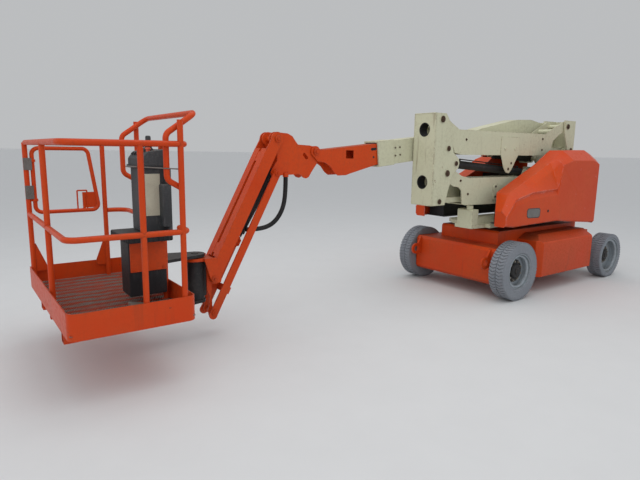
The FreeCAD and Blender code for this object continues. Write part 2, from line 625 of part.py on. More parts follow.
def jib_arm():
    """Twin tubes side by side, joined at both ends, with forks round both pins."""
    outline = [jib_point(s, n) for s, n in ((120, -52), (JIB_LEN - 10, -52), (JIB_LEN + 32, -40),
                                            (JIB_LEN + 30, 10), (1150, 56), (120, 56))]
    tubes = []
    for side in (-1, 1):
        y0, y1 = sorted((BOOM_Y + side * 18, BOOM_Y + side * 104))
        tubes.append(prism_y(outline, y0, y1))
    cheeks = []
    for side in (-1, 1):
        y0, y1 = sorted((BOOM_Y + side * 90, BOOM_Y + side * 104))
        plate = [jib_point(s, n) for s, n in ((0, -60), (60, -52), (220, -52), (220, 56),
                                              (150, 56), (40, 52), (0, 60))]
        cheeks.append(fuse([prism_y(plate, y0, y1), cyl_y(JIB_PIN[0], JIB_PIN[1], 60, y0, y1)]))
    joins = [prism_y([jib_point(a, n) for a, n in ((s, -50), (s + 90, -50), (s + 90, 54),
                                                   (s, 54))], BOOM_Y - 30, BOOM_Y + 30)
             for s in (150, 1010)]
    foot_room = prism_y([jib_point(s, n) for s, n in ((JIB_LEN - 170, -80), (JIB_LEN + 60, -80),
                                                      (JIB_LEN + 60, 80), (JIB_LEN - 170, 80))],
                        BOOM_Y - 60, BOOM_Y + 60)
    x, z = jib_point(JIB_LEN, 0)
    bores = [cyl_y(JIB_PIN[0], JIB_PIN[1], 24.05, -300, 50), cyl_y(x, z, 24.05, -300, 50)]
    lugs = []
    for y in (BOOM_Y - 40, BOOM_Y + 26):
        lugs.append(prism_y([jib_point(s, n) for s, n in ((JIB_HEAD_S - 85, -45), (JIB_HEAD_S + 75, -45),
                                                          (JIB_HEAD_S + 25, -118),
                                                          (JIB_HEAD_S - 25, -118))], y, y + 14))
    x, z = jib_point(JIB_HEAD_S, JIB_HEAD_N)
    for y in (BOOM_Y - 45, BOOM_Y + 27):
        lugs.append(cyl_y(x, z, 18, y, y + 18))
    return cut(fuse([tube.cut(foot_room) for tube in tubes] + cheeks + joins + lugs), bores)


LINK_TAIL = 25.0


def jib_link():
    """Two flat bars with a tie, running past their lower pin."""
    foot = jib_point(JIB_LEN, 0, JIB_LINK)
    end = jib_point(JIB_LEN + LINK_TAIL, 0, JIB_LINK)
    shapes = []
    bores = []
    for side in (-1, 1):
        y0, y1 = sorted((BOOM_Y + side * 90, BOOM_Y + side * 104))
        shapes.append(bar(JIB_LINK, end, 34, y0, y1, 36))
    for x, z in (JIB_LINK, foot):
        bores.append(cyl_y(x, z, 22.05, -300, 50))
    shapes.append(prism_y([jib_point(s, n, JIB_LINK)
                           for s, n in ((1060, -46), (1120, -46), (1120, -31), (1060, -31))],
                          BOOM_Y - 104, BOOM_Y + 104))
    return cut(fuse(shapes), bores)


FLANGE_R, SHAFT_R = 95.0, 30.0


def jib_head():
    """Orange carrier: a flange with a round front above inner and outer cheeks."""
    top = jib_point(JIB_LEN, 0)
    low = jib_point(JIB_LEN, 0, JIB_LINK)
    flange = fuse([box(4158, 4240, BOOM_Y - 118, BOOM_Y + 118, 660, 685),
                   box(4158, ROTATOR_X, BOOM_Y - FLANGE_R, BOOM_Y + FLANGE_R, 660, 685),
                   cyl_z(ROTATOR_X, BOOM_Y, FLANGE_R, 660, 685)])
    inner = [(4158, 661), (4158, 575), (top[0] - 50, top[1] + 10), (top[0] - 40, top[1] - 40),
             (top[0] - 2, top[1] - 62), (low[0] - 2, low[1] + 42), (low[0] - 36, low[1] + 18),
             (low[0] - 20, low[1] - 36), (low[0] + 30, low[1] - 34), (low[0] + 36, low[1] + 10),
             (4178, low[1] + 60), (4178, 350), (top[0] + 42, 400), (top[0] + 42, 661)]
    outer = [(4132, 685), (4240, 685), (4235, 655), (top[0] + 38, top[1] + 10),
             (top[0] + 10, top[1] - 38), (top[0] - 55, top[1] - 34), (top[0] - 62, top[1])]
    cheeks = [prism_y(inner, y, y + 12) for y in (BOOM_Y - 52, BOOM_Y + 40)]
    cheeks += [prism_y(outer, y, y + 8) for y in (BOOM_Y - 118, BOOM_Y + 110)]
    pins = [cyl_y(top[0], top[1], 24, BOOM_Y - 124, BOOM_Y + 124),
            cyl_y(low[0], low[1], 22, BOOM_Y - 112, BOOM_Y + 112)]
    bore = cyl_z(ROTATOR_X, BOOM_Y, SHAFT_R + 0.3, 650, 700)
    return fuse([flange.cut(bore)] + cheeks + pins)


def jib_post():
    """Rotator housing under the flange with the shaft that turns the platform."""
    web = box(4197.6, ROTATOR_X, BOOM_Y - 39, BOOM_Y + 39, 360, 640)
    post = cyl_z(ROTATOR_X, BOOM_Y, 72, 340, 659.7)
    shaft = cyl_z(ROTATOR_X, BOOM_Y, SHAFT_R, 305, 722)
    return fuse([web, post, shaft])


def rotator():
    """Turning bracket between the rotator shaft and the back of the platform."""
    arms = []
    for z in (310, 692):
        arms.append(prism_z([(ROTATOR_X, BOOM_Y - 80), (PLAT_X0 - 20, BOOM_Y - 150),
                             (PLAT_X0 - 20, BOOM_Y + 150), (ROTATOR_X, BOOM_Y + 80)],
                            z, z + 25))
        arms.append(cyl_z(ROTATOR_X, BOOM_Y, 80, z, z + 25))
    back = box(PLAT_X0 - 32, PLAT_X0 - 0.3, BOOM_Y - 150, BOOM_Y + 150, 310, 717)
    return cut(fuse(arms + [back]), [cyl_z(ROTATOR_X, BOOM_Y, SHAFT_R + 0.05, 300, 730)])


# Platform
def rounded_box(x0, x1, y0, y1, z0, z1, r):
    """Upright box whose two corner edges on the left side are rounded."""
    block = box(x0, x1, y0, y1, z0, z1)
    edges = [e for e in block.Edges
             if abs(e.tangentAt(e.FirstParameter).z) > 0.99 and e.BoundBox.YMin > y1 - 1]
    return block.makeFillet(r, edges)


def platform_tray():
    """Floor pan with toe boards and the cross tubes that carry it."""
    outer = rounded_box(PLAT_X0, PLAT_X1, PLAT_Y0, PLAT_Y1, PLAT_Z0, TOE_Z, TRAY_R)
    inner = rounded_box(PLAT_X0 + WALL, PLAT_X1 - WALL, PLAT_Y0 + WALL, PLAT_Y1 - WALL, FLOOR_Z,
                        TOE_Z + 5, TRAY_R - WALL)
    ribs = [box(PLAT_X0, PLAT_X0 + 700, y, y + 50, PLAT_Z0 - 45, PLAT_Z0)
            for y in (BOOM_Y - 145, BOOM_Y + 95)]
    return fuse([outer.cut(inner)] + ribs)


def rail_top(r=TUBE_R):
    """Closed top rail with bent corners."""
    return tube_loop([(RAIL_X0, RAIL_Y0, RAIL_Z), (RAIL_X0, RAIL_Y1, RAIL_Z),
                      (RAIL_X1, RAIL_Y1, RAIL_Z), (RAIL_X1, RAIL_Y0, RAIL_Z)], r, 70.0)


def rail_middle(r=TUBE_R):
    """Mid rail in two runs that leave the gate's bay open."""
    gap = TUBE_R + 0.3
    near = rail([(RAIL_X1, RAIL_Y0 + gap, MID_Z), (RAIL_X1, RAIL_Y1, MID_Z),
                 (RAIL_X0, RAIL_Y1, MID_Z), (RAIL_X0, 440, MID_Z)], r)
    far = rail([(POST_C_X - gap, RAIL_Y0, MID_Z), (RAIL_X0, RAIL_Y0, MID_Z),
                (RAIL_X0, -20, MID_Z)], r, 110.0)
    return Part.makeCompound([near, far])


POSTS = (
    # x, y, top of the post
    (RAIL_X1, RAIL_Y0, RAIL_Z),
    (RAIL_X1, 10.0, RAIL_Z),
    (POST_C_X, RAIL_Y0, RAIL_Z),
    (4916.0, RAIL_Y1, RAIL_Z),
    (4662.0, RAIL_Y1, 1740.0),
    (RAIL_X0, GUARD_FAR_Y - 2 * TUBE_R - 0.3, 1765.0),
    (RAIL_X0, 130.0, RAIL_Z),
)


def rail_posts():
    """Upright tubes trimmed where the rails pass, foot gussets and the gate's hinge lugs."""
    shapes = [cyl_z(x, y, TUBE_R, FLOOR_Z, top) for x, y, top in POSTS]
    for x, side in ((RAIL_X1, -1), (POST_C_X, 1)):
        gusset = [(x, 560), (x + side * 95, 560), (x + side * 95, 610), (x + side * 25, 790),
                  (x, 790)]
        shapes.append(prism_y(gusset, RAIL_Y0 - 4, RAIL_Y0 + 4))
    for z in (1130, 1440):
        lug = fuse([box(GATE_HINGE_X, RAIL_X1, RAIL_Y0 - 10, RAIL_Y0 + 10, z, z + 20),
                    cyl_z(GATE_HINGE_X, RAIL_Y0, 23, z, z + 20)])
        shapes.append(lug.cut(cyl_z(GATE_HINGE_X, RAIL_Y0, GATE_R + 0.05, z - 5, z + 25)))
    return cut(fuse(shapes), [rail_top(TUBE_R + 0.3), rail_middle(TUBE_R + 0.3)])


def console_guard():
    """Bent tube round the back and sides of the controls, above the top rail."""
    near, far = GUARD_NEAR_Y, GUARD_FAR_Y
    return rail([(4640, near, 1305), (4743, near, 1365), (4743, near, 1650), (4543, near, 1790),
                 (4543, far, 1790), (4743, far, 1650), (4743, far, 1365), (4640, far, 1305)],
                TUBE_R, 55.0)


def platform_gate():
    """Closed frame of bent tube, hinged at its front end."""
    y = RAIL_Y0
    frame = tube_loop([(GATE_LATCH_X + 70, y, 1548), (GATE_HINGE_X, y, 1548),
                       (GATE_HINGE_X, y, 1040), (GATE_LATCH_X, y, 1040)], GATE_R, 50.0)
    plate = prism_y([(4850, 1060), (4955, 1060), (4955, 1190), (4862, 1190)], y - 3, y + 3)
    tie = prism_y([(4940, 1045), (4960, 1045), (4960, 1190), (4940, 1190)], y - 8, y + 8)
    return fuse([frame, plate, tie])


def console():
    """Control pedestal of the platform in closed cases."""
    head = prism_y([(4640, 1430.3), (4810, 1430.3), (4810, 1490), (4770, 1540), (4640, 1556)],
                   -20, 310)
    stick = fuse([cyl_z(4740, 235, 9, 1535, 1610), cyl_z(4740, 235, 18, 1600, 1645)])
    case = fuse([box(4660, 4800, 0, 300, 980.3, 1430), box(4636.6, 4661, -20, 375, 980.3, 1430),
                 box(4660, 4700, 299, 375, 1030, 1320)])
    shelf = box(4640, 4950, -40, 380, 935, 980)
    cabinet = box(4640, 4905, 30, 230, 530, 934.7)
    return {"console_head": fuse([head, stick]), "console_pedestal": case,
            "console_shelf": shelf, "console_cabinet": cabinet}


def foot_switch():
    return fuse([box(4800, 4950, 250, 370, FLOOR_Z + 0.3, FLOOR_Z + 12),
                 prism_y([(4810, FLOOR_Z + 11), (4940, FLOOR_Z + 11), (4930, FLOOR_Z + 55),
                          (4840, FLOOR_Z + 38)], 260, 360)])


def hose():
    """Hose loop from the gooseneck to the jib's back, bent to the widest arcs that fit."""
    points = [vec(x, HOSE_Y, z) for x, z in HOSE_LINE]
    bends = []
    for a, b, c in zip(points, points[1:], points[2:]):
        half = (b - a).getAngle(c - b) / 2
        bends.append(0.45 * min((b - a).Length, (c - b).Length) / math.tan(half))
    print("hose bend radii, mm:", [round(r) for r in bends])
    return rail([(p.x, p.y, p.z) for p in points], HOSE_R, bends)


def build():
    parts = wheels()
    parts["chassis_frame"] = chassis_frame()
    parts["battery_box_left"] = battery_box(1)
    parts["battery_box_right"] = battery_box(-1)
    parts["front_hubs"] = front_hubs()
    parts["slew_ring"] = slew_ring()
    parts["rear_axle"] = rear_axle()
    parts["steer_cylinder"] = steer_cylinder()
    parts["steer_rod"] = steer_rod()
    parts["knuckle_left"] = knuckle(1)
    parts["knuckle_right"] = knuckle(-1)
    parts["turntable_frame"] = turntable_frame()
    parts["counterweight"] = counterweight()
    parts["hood_left"] = hood(1)
    parts["hood_right"] = hood(-1)
    parts["tray_units_left"] = tray_units(1)
    parts["tray_units_right"] = tray_units(-1)
    parts["lower_arm"] = lower_arm()
    parts["lower_arm_box"] = lower_arm_box()
    parts["lower_link"] = link(BASE_LINK, LOW_LINK)
    parts["upright"] = upright()
    parts["upright_front"] = upright_front()
    parts["upper_arm"] = upper_arm()
    parts["upper_arm_box"] = upper_arm_box()
    parts["upper_link"] = link(UP_LINK, TOP_LINK)
    parts["boom_mount"] = boom_mount()
    barrel, stem = cylinder_pair(TOWER_FOOT, TOWER_HEAD, 44, 25, 120, 1250, 900, 60, 20, 20)
    parts["tower_barrel"], parts["tower_ram"] = barrel, stem
    barrel, stem = cylinder_pair(LIFT_LOW, LIFT_HIGH, 45, 27, BOOM_Y, 770, 150, 60, 24, 24)
    parts["lift_barrel"], parts["lift_ram"] = barrel, stem
    parts["boom_base"] = boom_base()
    parts["boom_fly"] = boom_fly()
    parts["level_head"] = level_head()
    parts["jib_arm"] = jib_arm()
    parts["jib_link"] = jib_link()
    barrel, stem = cylinder_pair(JIB_LINK, jib_point(JIB_HEAD_S, JIB_HEAD_N), 34, 18, BOOM_Y, 600, 50,
                                 44, 22, 18)
    parts["jib_barrel"], parts["jib_ram"] = barrel, stem
    parts["jib_head"] = jib_head()
    parts["jib_post"] = jib_post()
    parts["rotator"] = rotator()
    parts["platform_tray"] = platform_tray()
    parts["rail_top"] = rail_top()
    parts["rail_middle"] = rail_middle()
    parts["rail_posts"] = rail_posts()
    parts["console_guard"] = console_guard()
    parts["platform_gate"] = platform_gate()
    parts.update(console())
    parts["foot_switch"] = foot_switch()
    parts["hose_loop"] = hose()
    return parts


os.makedirs("parts", exist_ok=True)
for name, shape in build().items():
    shape.translate(vec(SHIFT_X, SHIFT_Y, 0))
    shape.exportStep("parts/%s.step" % name)
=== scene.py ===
import json
import math

import bmesh
import bpy
from mathutils import Matrix, Vector

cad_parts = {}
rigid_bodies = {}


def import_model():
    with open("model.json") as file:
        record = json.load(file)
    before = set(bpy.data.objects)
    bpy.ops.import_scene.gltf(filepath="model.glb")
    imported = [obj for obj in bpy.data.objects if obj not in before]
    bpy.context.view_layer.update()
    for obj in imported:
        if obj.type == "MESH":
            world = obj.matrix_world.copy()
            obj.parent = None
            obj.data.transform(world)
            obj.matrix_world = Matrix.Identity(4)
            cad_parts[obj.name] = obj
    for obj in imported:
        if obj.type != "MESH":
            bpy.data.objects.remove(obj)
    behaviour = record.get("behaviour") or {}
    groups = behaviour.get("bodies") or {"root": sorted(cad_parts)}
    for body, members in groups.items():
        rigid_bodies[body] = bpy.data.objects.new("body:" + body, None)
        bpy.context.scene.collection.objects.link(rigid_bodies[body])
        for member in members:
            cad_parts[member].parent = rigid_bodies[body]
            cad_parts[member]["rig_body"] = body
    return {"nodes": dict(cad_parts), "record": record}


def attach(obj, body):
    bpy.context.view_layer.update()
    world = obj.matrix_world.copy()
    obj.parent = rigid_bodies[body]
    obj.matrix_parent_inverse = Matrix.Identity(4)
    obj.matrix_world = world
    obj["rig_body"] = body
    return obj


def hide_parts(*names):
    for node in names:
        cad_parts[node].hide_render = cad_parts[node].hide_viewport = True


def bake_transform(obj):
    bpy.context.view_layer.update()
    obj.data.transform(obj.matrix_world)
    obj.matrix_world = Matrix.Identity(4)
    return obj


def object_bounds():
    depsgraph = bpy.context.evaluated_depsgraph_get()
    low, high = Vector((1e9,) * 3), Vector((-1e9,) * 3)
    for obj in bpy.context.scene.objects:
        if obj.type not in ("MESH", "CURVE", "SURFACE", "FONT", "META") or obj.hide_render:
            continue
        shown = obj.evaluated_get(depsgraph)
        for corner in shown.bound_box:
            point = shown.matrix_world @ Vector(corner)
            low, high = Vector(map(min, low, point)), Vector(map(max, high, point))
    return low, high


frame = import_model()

bl_info = {
    "name": "Articulating boom lift",
    "version": (1, 0, 0),
    "blender": (4, 5, 0),
    "location": "3D View > Sidebar > Boom lift",
    "description": "Dresses the packed boom lift with paint, tread, fasteners, a hose and a studio",
    "category": "Object",
}

# Places are in mm from the middle of the wheelbase on the ground, as in the part's source,
# and place() turns them into metres in the frame. The camera, the widths that tell a broad
# face and the tread's groove and taper are in metres.
METRE = 1000.0
AXES = {"x": Vector((1, 0, 0)), "y": Vector((0, 1, 0)), "z": Vector((0, 0, 1))}
SHIFT_X, SHIFT_Y = -2052.75, 60.0
BOOM_Y = -140.0
BOOM_PIVOT, BOOM_DROP = (-620.0, 1850.0), math.radians(6.0)
TOWER_FOOT, TOWER_HEAD = (155.0, 1340.0), (1560.0, 1450.0)
LIFT_FOOT, LIFT_HEAD = (-400.0, 1500.0), (520.0, 1555.0)
JIB_PIN, JIB_LINK = (3545.0, 1655.0), (3545.0, 1365.0)
JIB_LEN, JIB_DROP = 1300.0, math.radians(62.0)
HOSE_Y, HOSE_RADIUS, HOSE_SPOTS = BOOM_Y + 62.0, 20.0, 16
HOSE_LINE = ((3437, 1328), (3437, 1165), (3474, 1022), (3566, 915), (3708, 878), (3838, 889))
ARM_SIDE, LUG_SIDE, HOOD_SIDE = 235.0, 241.0, 645.0
HOOD_MOULDED, BROAD_WIDTH, FOLD_ANGLE = 7.0, 0.012, math.radians(8.0)
TYRE_IN, TYRE_OUT = 572.0, 750.0
TREAD_EDGE, TREAD_MIDDLE, TREAD_BENT = 12.0, 89.0, (50.0, 128.0)
TREAD_GROOVE, TREAD_TAPER = 0.0034, 0.0012
FLOOR_AREA = (4600.0, 5375.0, -860.0, 640.0)
FLOOR_CELLS, FLOOR_TOP = 110, 464.5
TRAY_UNDERSIDE = 429.5
HINGE_PLATE, GATE_Y = -819.0, -842.7
CAMERA_AT = Vector((3.83825, 3.868, 1.562))
CAMERA_AHEAD = Vector((-0.58156, -0.79530, -0.17115))
CAMERA_RIGHT = Vector((-0.80863, 0.58813, 0.01478))
SKY_COLOUR, BACKDROP_COLOUR = (0.93, 0.96, 1.0, 1.0), (0.50, 0.51, 0.52, 1.0)
CAD_LOW, CAD_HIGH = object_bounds()


def place(x, y, z):
    return Vector(((x + SHIFT_X) / METRE, (y + SHIFT_Y) / METRE, z / METRE))


def along(origin, drop, s, n):
    """Point s down a line that falls by drop from origin, and n to its upper side."""
    c, k = math.cos(drop), math.sin(drop)
    return origin[0] + s * c + n * k, origin[1] - s * k + n * c


# Meshes
def joined(shapes):
    """One mesh out of several shapes, which it uses up."""
    bm = bmesh.new()
    for shape in shapes:
        mesh = bpy.data.meshes.new("shape")
        shape.to_mesh(mesh)
        shape.free()
        bm.from_mesh(mesh)
        bpy.data.meshes.remove(mesh)
    return bm


def finish_mesh(bm, name, material, body, sharp=32.0):
    """Turns a bmesh into a named object with its finish, riding on its body. Each corner's
    normal is the mean of the faces round it that turn less than sharp, weighted by area."""
    limit = math.cos(math.radians(sharp))
    bm.normal_update()
    bm.faces.index_update()
    areas = [face.calc_area() for face in bm.faces]
    normals = []
    for face in bm.faces:
        face.smooth = True
        for loop in face.loops:
            total = face.normal * areas[face.index]
            for other in loop.vert.link_faces:
                if other is not face and other.normal.dot(face.normal) > limit:
                    total = total + other.normal * areas[other.index]
            normals.append(total.normalized())
    mesh = bpy.data.meshes.new(name)
    bm.to_mesh(mesh)
    bm.free()
    mesh.normals_split_custom_set(normals)
    obj = bpy.data.objects.new(name, mesh)
    bpy.context.scene.collection.objects.link(obj)
    obj.data.materials.append(bpy.data.materials[material])
    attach(obj, body)
    return obj


def make(name, material, body, *shapes):
    """One piece out of its shapes."""
    return finish_mesh(joined(shapes), name, material, body)


def bevel(bm, width, segments=2, angle=30.0):
    """Rounds every outer edge sharper than the angle; width in mm."""
    if width <= 0:
        return
    limit = math.radians(angle)
    edges = [e for e in bm.edges
             if len(e.link_faces) == 2 and e.calc_face_angle_signed(0.0) > limit]
    bmesh.ops.bevel(bm, geom=edges, offset=width / METRE, offset_type="OFFSET",
                    segments=segments, profile=0.5, affect="EDGES", material=-1,
                    clamp_overlap=True)


def block(x0, x1, y0, y1, z0, z1, edge=2.0):
    low, high = place(x0, y0, z0), place(x1, y1, z1)
    bm = bmesh.new()
    bmesh.ops.create_cube(bm, size=1.0, matrix=Matrix.Translation((low + high) / 2)
                          @ Matrix.Diagonal((high - low).to_4d()))
    bevel(bm, edge)
    return bm


def rod(p, q, r, edge=1.0, sides=24):
    """Round or many-sided bar between two layout points; sizes in mm."""
    a, b = place(*p), place(*q)
    turn = (b - a).to_track_quat("Z", "Y").to_matrix().to_4x4()
    bm = bmesh.new()
    bmesh.ops.create_cone(bm, cap_ends=True, segments=sides, radius1=r / METRE,
                          radius2=r / METRE, depth=(b - a).length,
                          matrix=Matrix.Translation((a + b) / 2) @ turn)
    bevel(bm, edge, 2, 50.0)
    return bm


def plate(outline, axis, low, high, edge=1.5):
    """Flat outline drawn across an axis and given its thickness from low to high."""
    bm = bmesh.new()
    verts = []
    for a, b in outline:
        point = {"x": (low, a, b), "y": (a, low, b), "z": (a, b, low)}[axis]
        verts.append(bm.verts.new(place(*point)))
    face = bm.faces.new(verts)
    moved = bmesh.ops.extrude_face_region(bm, geom=[face])
    tops = [v for v in moved["geom"] if isinstance(v, bmesh.types.BMVert)]
    bmesh.ops.translate(bm, verts=tops, vec=AXES[axis] * (high - low) / METRE)
    bmesh.ops.recalc_face_normals(bm, faces=bm.faces)
    bevel(bm, edge)
    return bm


def ring(profile, centre, axis, steps, way=1):
    """Closed (radius, offset) outline turned about an axis through the centre; way -1 turns
    the offsets round."""
    middle = place(*centre)
    out = AXES[axis]
    side = AXES["y" if axis == "x" else "x"]
    bm = bmesh.new()
    verts = [bm.verts.new(middle + side * r / METRE + out * way * d / METRE)
             for r, d in profile]
    edges = [bm.edges.new((a, b)) for a, b in zip(verts, verts[1:] + verts[:1])]
    bmesh.ops.spin(bm, geom=verts + edges, cent=middle, axis=out, angle=math.tau, steps=steps,
                   use_merge=True, use_duplicate=False)
    bmesh.ops.remove_doubles(bm, verts=bm.verts, dist=1e-6)
    bmesh.ops.recalc_face_normals(bm, faces=bm.faces)
    return bm


def bolt(x, y, z, axis, r, height):
    """Hexagon head on its washer, standing on a face; a negative height faces the other way."""
    foot, step, washer = Vector((x, y, z)), AXES[axis], math.copysign(2.5, height)
    seat, top = foot + step * washer, foot + step * (washer + height)
    return joined((rod(foot, seat, r * 1.5, 0.4, 16), rod(seat, top, r, 0.8, 6)))


def soften(part, width, moulded=0.0, finish=None):
    """A CAD node's shape with its sharp edges rounded off, standing for the node. The
    moulded width, in mm, rounds the outer edges between two broad faces first. A finish
    of the piece's own takes the place of its slot's."""
    source = frame["nodes"][part]
    bm = bmesh.new()
    bm.from_mesh(source.data)
    bmesh.ops.remove_doubles(bm, verts=bm.verts, dist=2e-5)
    bmesh.ops.dissolve_limit(bm, angle_limit=math.radians(0.5), verts=bm.verts, edges=bm.edges)
    if moulded:
        broad = {face for face in bm.faces
                 if face.calc_area() > BROAD_WIDTH * max(e.calc_length() for e in face.edges)}
        outer = [edge for edge in bm.edges
                 if len(edge.link_faces) == 2 and broad.issuperset(edge.link_faces)
                 and edge.calc_face_angle_signed(0.0) > FOLD_ANGLE]
        bmesh.ops.bevel(bm, geom=outer, offset=moulded / METRE, offset_type="OFFSET",
                        segments=5, profile=0.5, affect="EDGES", material=-1,
                        clamp_overlap=False)
    bevel(bm, width, 2, 27.0)
    slot = source.data.materials[0].name
    obj = finish_mesh(bm, part + "_shell", finish or slot, source["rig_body"], 40.0)
    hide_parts(part)


def hose_mesh(name, points, radius, material):
    """Hose on a smooth line through the same control points as the part's source."""
    curve = bpy.data.curves.new(name + "_line", "CURVE")
    curve.dimensions = "3D"
    curve.resolution_u = 12
    curve.bevel_depth = radius / METRE
    curve.bevel_resolution = 5
    curve.use_fill_caps = True
    spline = curve.splines.new("NURBS")
    spline.points.add(len(points) - 1)
    for spot, point in zip(spline.points, points):
        spot.co = place(*point).to_4d()
    spline.order_u = 3
    spline.use_endpoint_u = True
    curve.materials.append(bpy.data.materials[material])
    line = bpy.data.objects.new(name + "_line", curve)
    mesh = bpy.data.meshes.new_from_object(line)
    mesh.name = name
    mesh.shade_smooth()
    bpy.data.objects.remove(line)
    obj = bpy.data.objects.new(name, mesh)
    bpy.context.scene.collection.objects.link(obj)
    return obj


# Shader node groups
def new_group(name, inputs, outputs):
    group = bpy.data.node_groups.new(name, "ShaderNodeTree")
    for label, kind, value in inputs:
        socket = group.interface.new_socket(name=label, in_out="INPUT", socket_type=kind)
        socket.default_value = value
    for label, kind in outputs:
        group.interface.new_socket(name=label, in_out="OUTPUT", socket_type=kind)
    return group, group.nodes.new("NodeGroupInput"), group.nodes.new("NodeGroupOutput")


def feed(tree, socket, value):
    """Links another node's socket into this one, or sets a plain value."""
    if isinstance(value, bpy.types.NodeSocket):
        tree.links.new(value, socket)
    else:
        socket.default_value = value


def node(tree, kind, inputs=None, **values):
    """Adds a node, sets its properties and feeds its named or numbered inputs."""
    made = tree.nodes.new(kind)
    for key, value in values.items():
        setattr(made, key, value)
    for key, value in (inputs or {}).items():
        feed(tree, made.inputs[key], value)
    return made


def noise(tree, vector, scale, detail, rough):
    return node(tree, "ShaderNodeTexNoise", {
        "Vector": vector, "Scale": scale, "Detail": detail, "Roughness": rough}).outputs[0]


def ramp(tree, source, stops):
    """Grey ramp through (position, value) stops."""
    made = node(tree, "ShaderNodeValToRGB", {"Fac": source})
    band = made.color_ramp
    band.elements[0].position, band.elements[1].position = stops[0][0], stops[-1][0]
    band.elements[0].color = [stops[0][1]] * 3 + [1]
    band.elements[1].color = [stops[-1][1]] * 3 + [1]
    for position, value in stops[1:-1]:
        band.elements.new(position).color = [value] * 3 + [1]
    return made.outputs["Color"]


def mix(tree, factor, a, b):
    """Colour mix; a and b are sockets or plain colours."""
    a, b = (c if isinstance(c, bpy.types.NodeSocket) else (*c[:3], 1.0) for c in (a, b))
    return node(tree, "ShaderNodeMix", {0: factor, 6: a, 7: b}, data_type="RGBA").outputs[2]


def times(tree, a, b):
    return node(tree, "ShaderNodeMath", {0: a, 1: b}, operation="MULTIPLY").outputs[0]


def plus(tree, a, b):
    return node(tree, "ShaderNodeMath", {0: a, 1: b}, operation="ADD", use_clamp=True).outputs[0]


def make_weather_group():
    """Fading in broad patches, grime in specks, run marks down the faces, chips and dents, dirt
    near the ground, wear on edges and dust on top. On a finish whose chip colour is pale, as on the
    mouldings, the wear on edges is partly a painted edge highlight."""
    labels = ("Fade", "Grime", "Runs", "Chips", "Height", "Low", "Edge", "Top")
    group, gin, gout = new_group("weathering", [("Scale", "NodeSocketFloat", 1.0)],
                                 [(label, "NodeSocketFloat") for label in labels])
    coords = node(group, "ShaderNodeTexCoord").outputs["Object"]
    scaled = node(group, "ShaderNodeVectorMath", {0: coords, "Scale": gin.outputs["Scale"]},
                  operation="SCALE").outputs[0]
    stretched = node(group, "ShaderNodeMapping",
                     {"Vector": scaled, "Scale": (22.0, 22.0, 2.6)}).outputs[0]
    fade = noise(group, scaled, 1.7, 5.0, 0.62)
    fine = noise(group, scaled, 38.0, 6.0, 0.7)
    runs = noise(group, stretched, 1.0, 3.0, 0.6)
    chips = noise(group, scaled, 13.0, 8.0, 0.72)
    dents = noise(group, scaled, 5.0, 2.0, 0.5)
    spot = node(group, "ShaderNodeSeparateXYZ", {"Vector": coords})
    low = node(group, "ShaderNodeMapRange",
               {0: spot.outputs["Z"], 1: 0.75, 2: 0.05, 3: 0.0, 4: 1.0})
    surface = node(group, "ShaderNodeNewGeometry").outputs["Normal"]
    rounded = node(group, "ShaderNodeBevel", {"Radius": 0.016}, samples=4)
    turned = node(group, "ShaderNodeVectorMath", {0: rounded.outputs[0], 1: surface},
                  operation="DOT_PRODUCT")
    near = ramp(group, turned.outputs["Value"], ((0.80, 1.0), (0.985, 0.0)))
    edge_patches = ramp(group, chips, ((0.47, 0.0), (0.58, 1.0)))
    facing = node(group, "ShaderNodeSeparateXYZ", {"Vector": surface})
    upward = ramp(group, facing.outputs["Z"], ((0.72, 0.0), (0.97, 1.0)))
    settled = ramp(group, fade, ((0.34, 0.25), (0.60, 1.0)))
    for label, value in (
            ("Fade", ramp(group, fade, ((0.36, 0.0), (0.64, 1.0)))),
            ("Grime", ramp(group, fine, ((0.46, 0.0), (0.72, 1.0)))),
            ("Runs", ramp(group, runs, ((0.58, 0.0), (0.74, 1.0)))),
            ("Chips", ramp(group, chips, ((0.665, 0.0), (0.69, 1.0)))),
            ("Height", times(group, dents, fine)), ("Low", low.outputs[0]),
            ("Edge", times(group, near, edge_patches)), ("Top", times(group, upward, settled))):
        group.links.new(value, gout.inputs[label])


def new_material(name):
    """Empty shader material; it takes the name over from the frame's plain one."""
    plain = bpy.data.materials.get(name)
    if plain:
        bpy.data.materials.remove(plain)
    material = bpy.data.materials.new(name)
    material.use_nodes = True
    return material.node_tree, material.node_tree.nodes["Principled BSDF"]


def weathered(tree, scale):
    group = bpy.data.node_groups["weathering"]
    return node(tree, "ShaderNodeGroup", {"Scale": scale}, node_tree=group).outputs


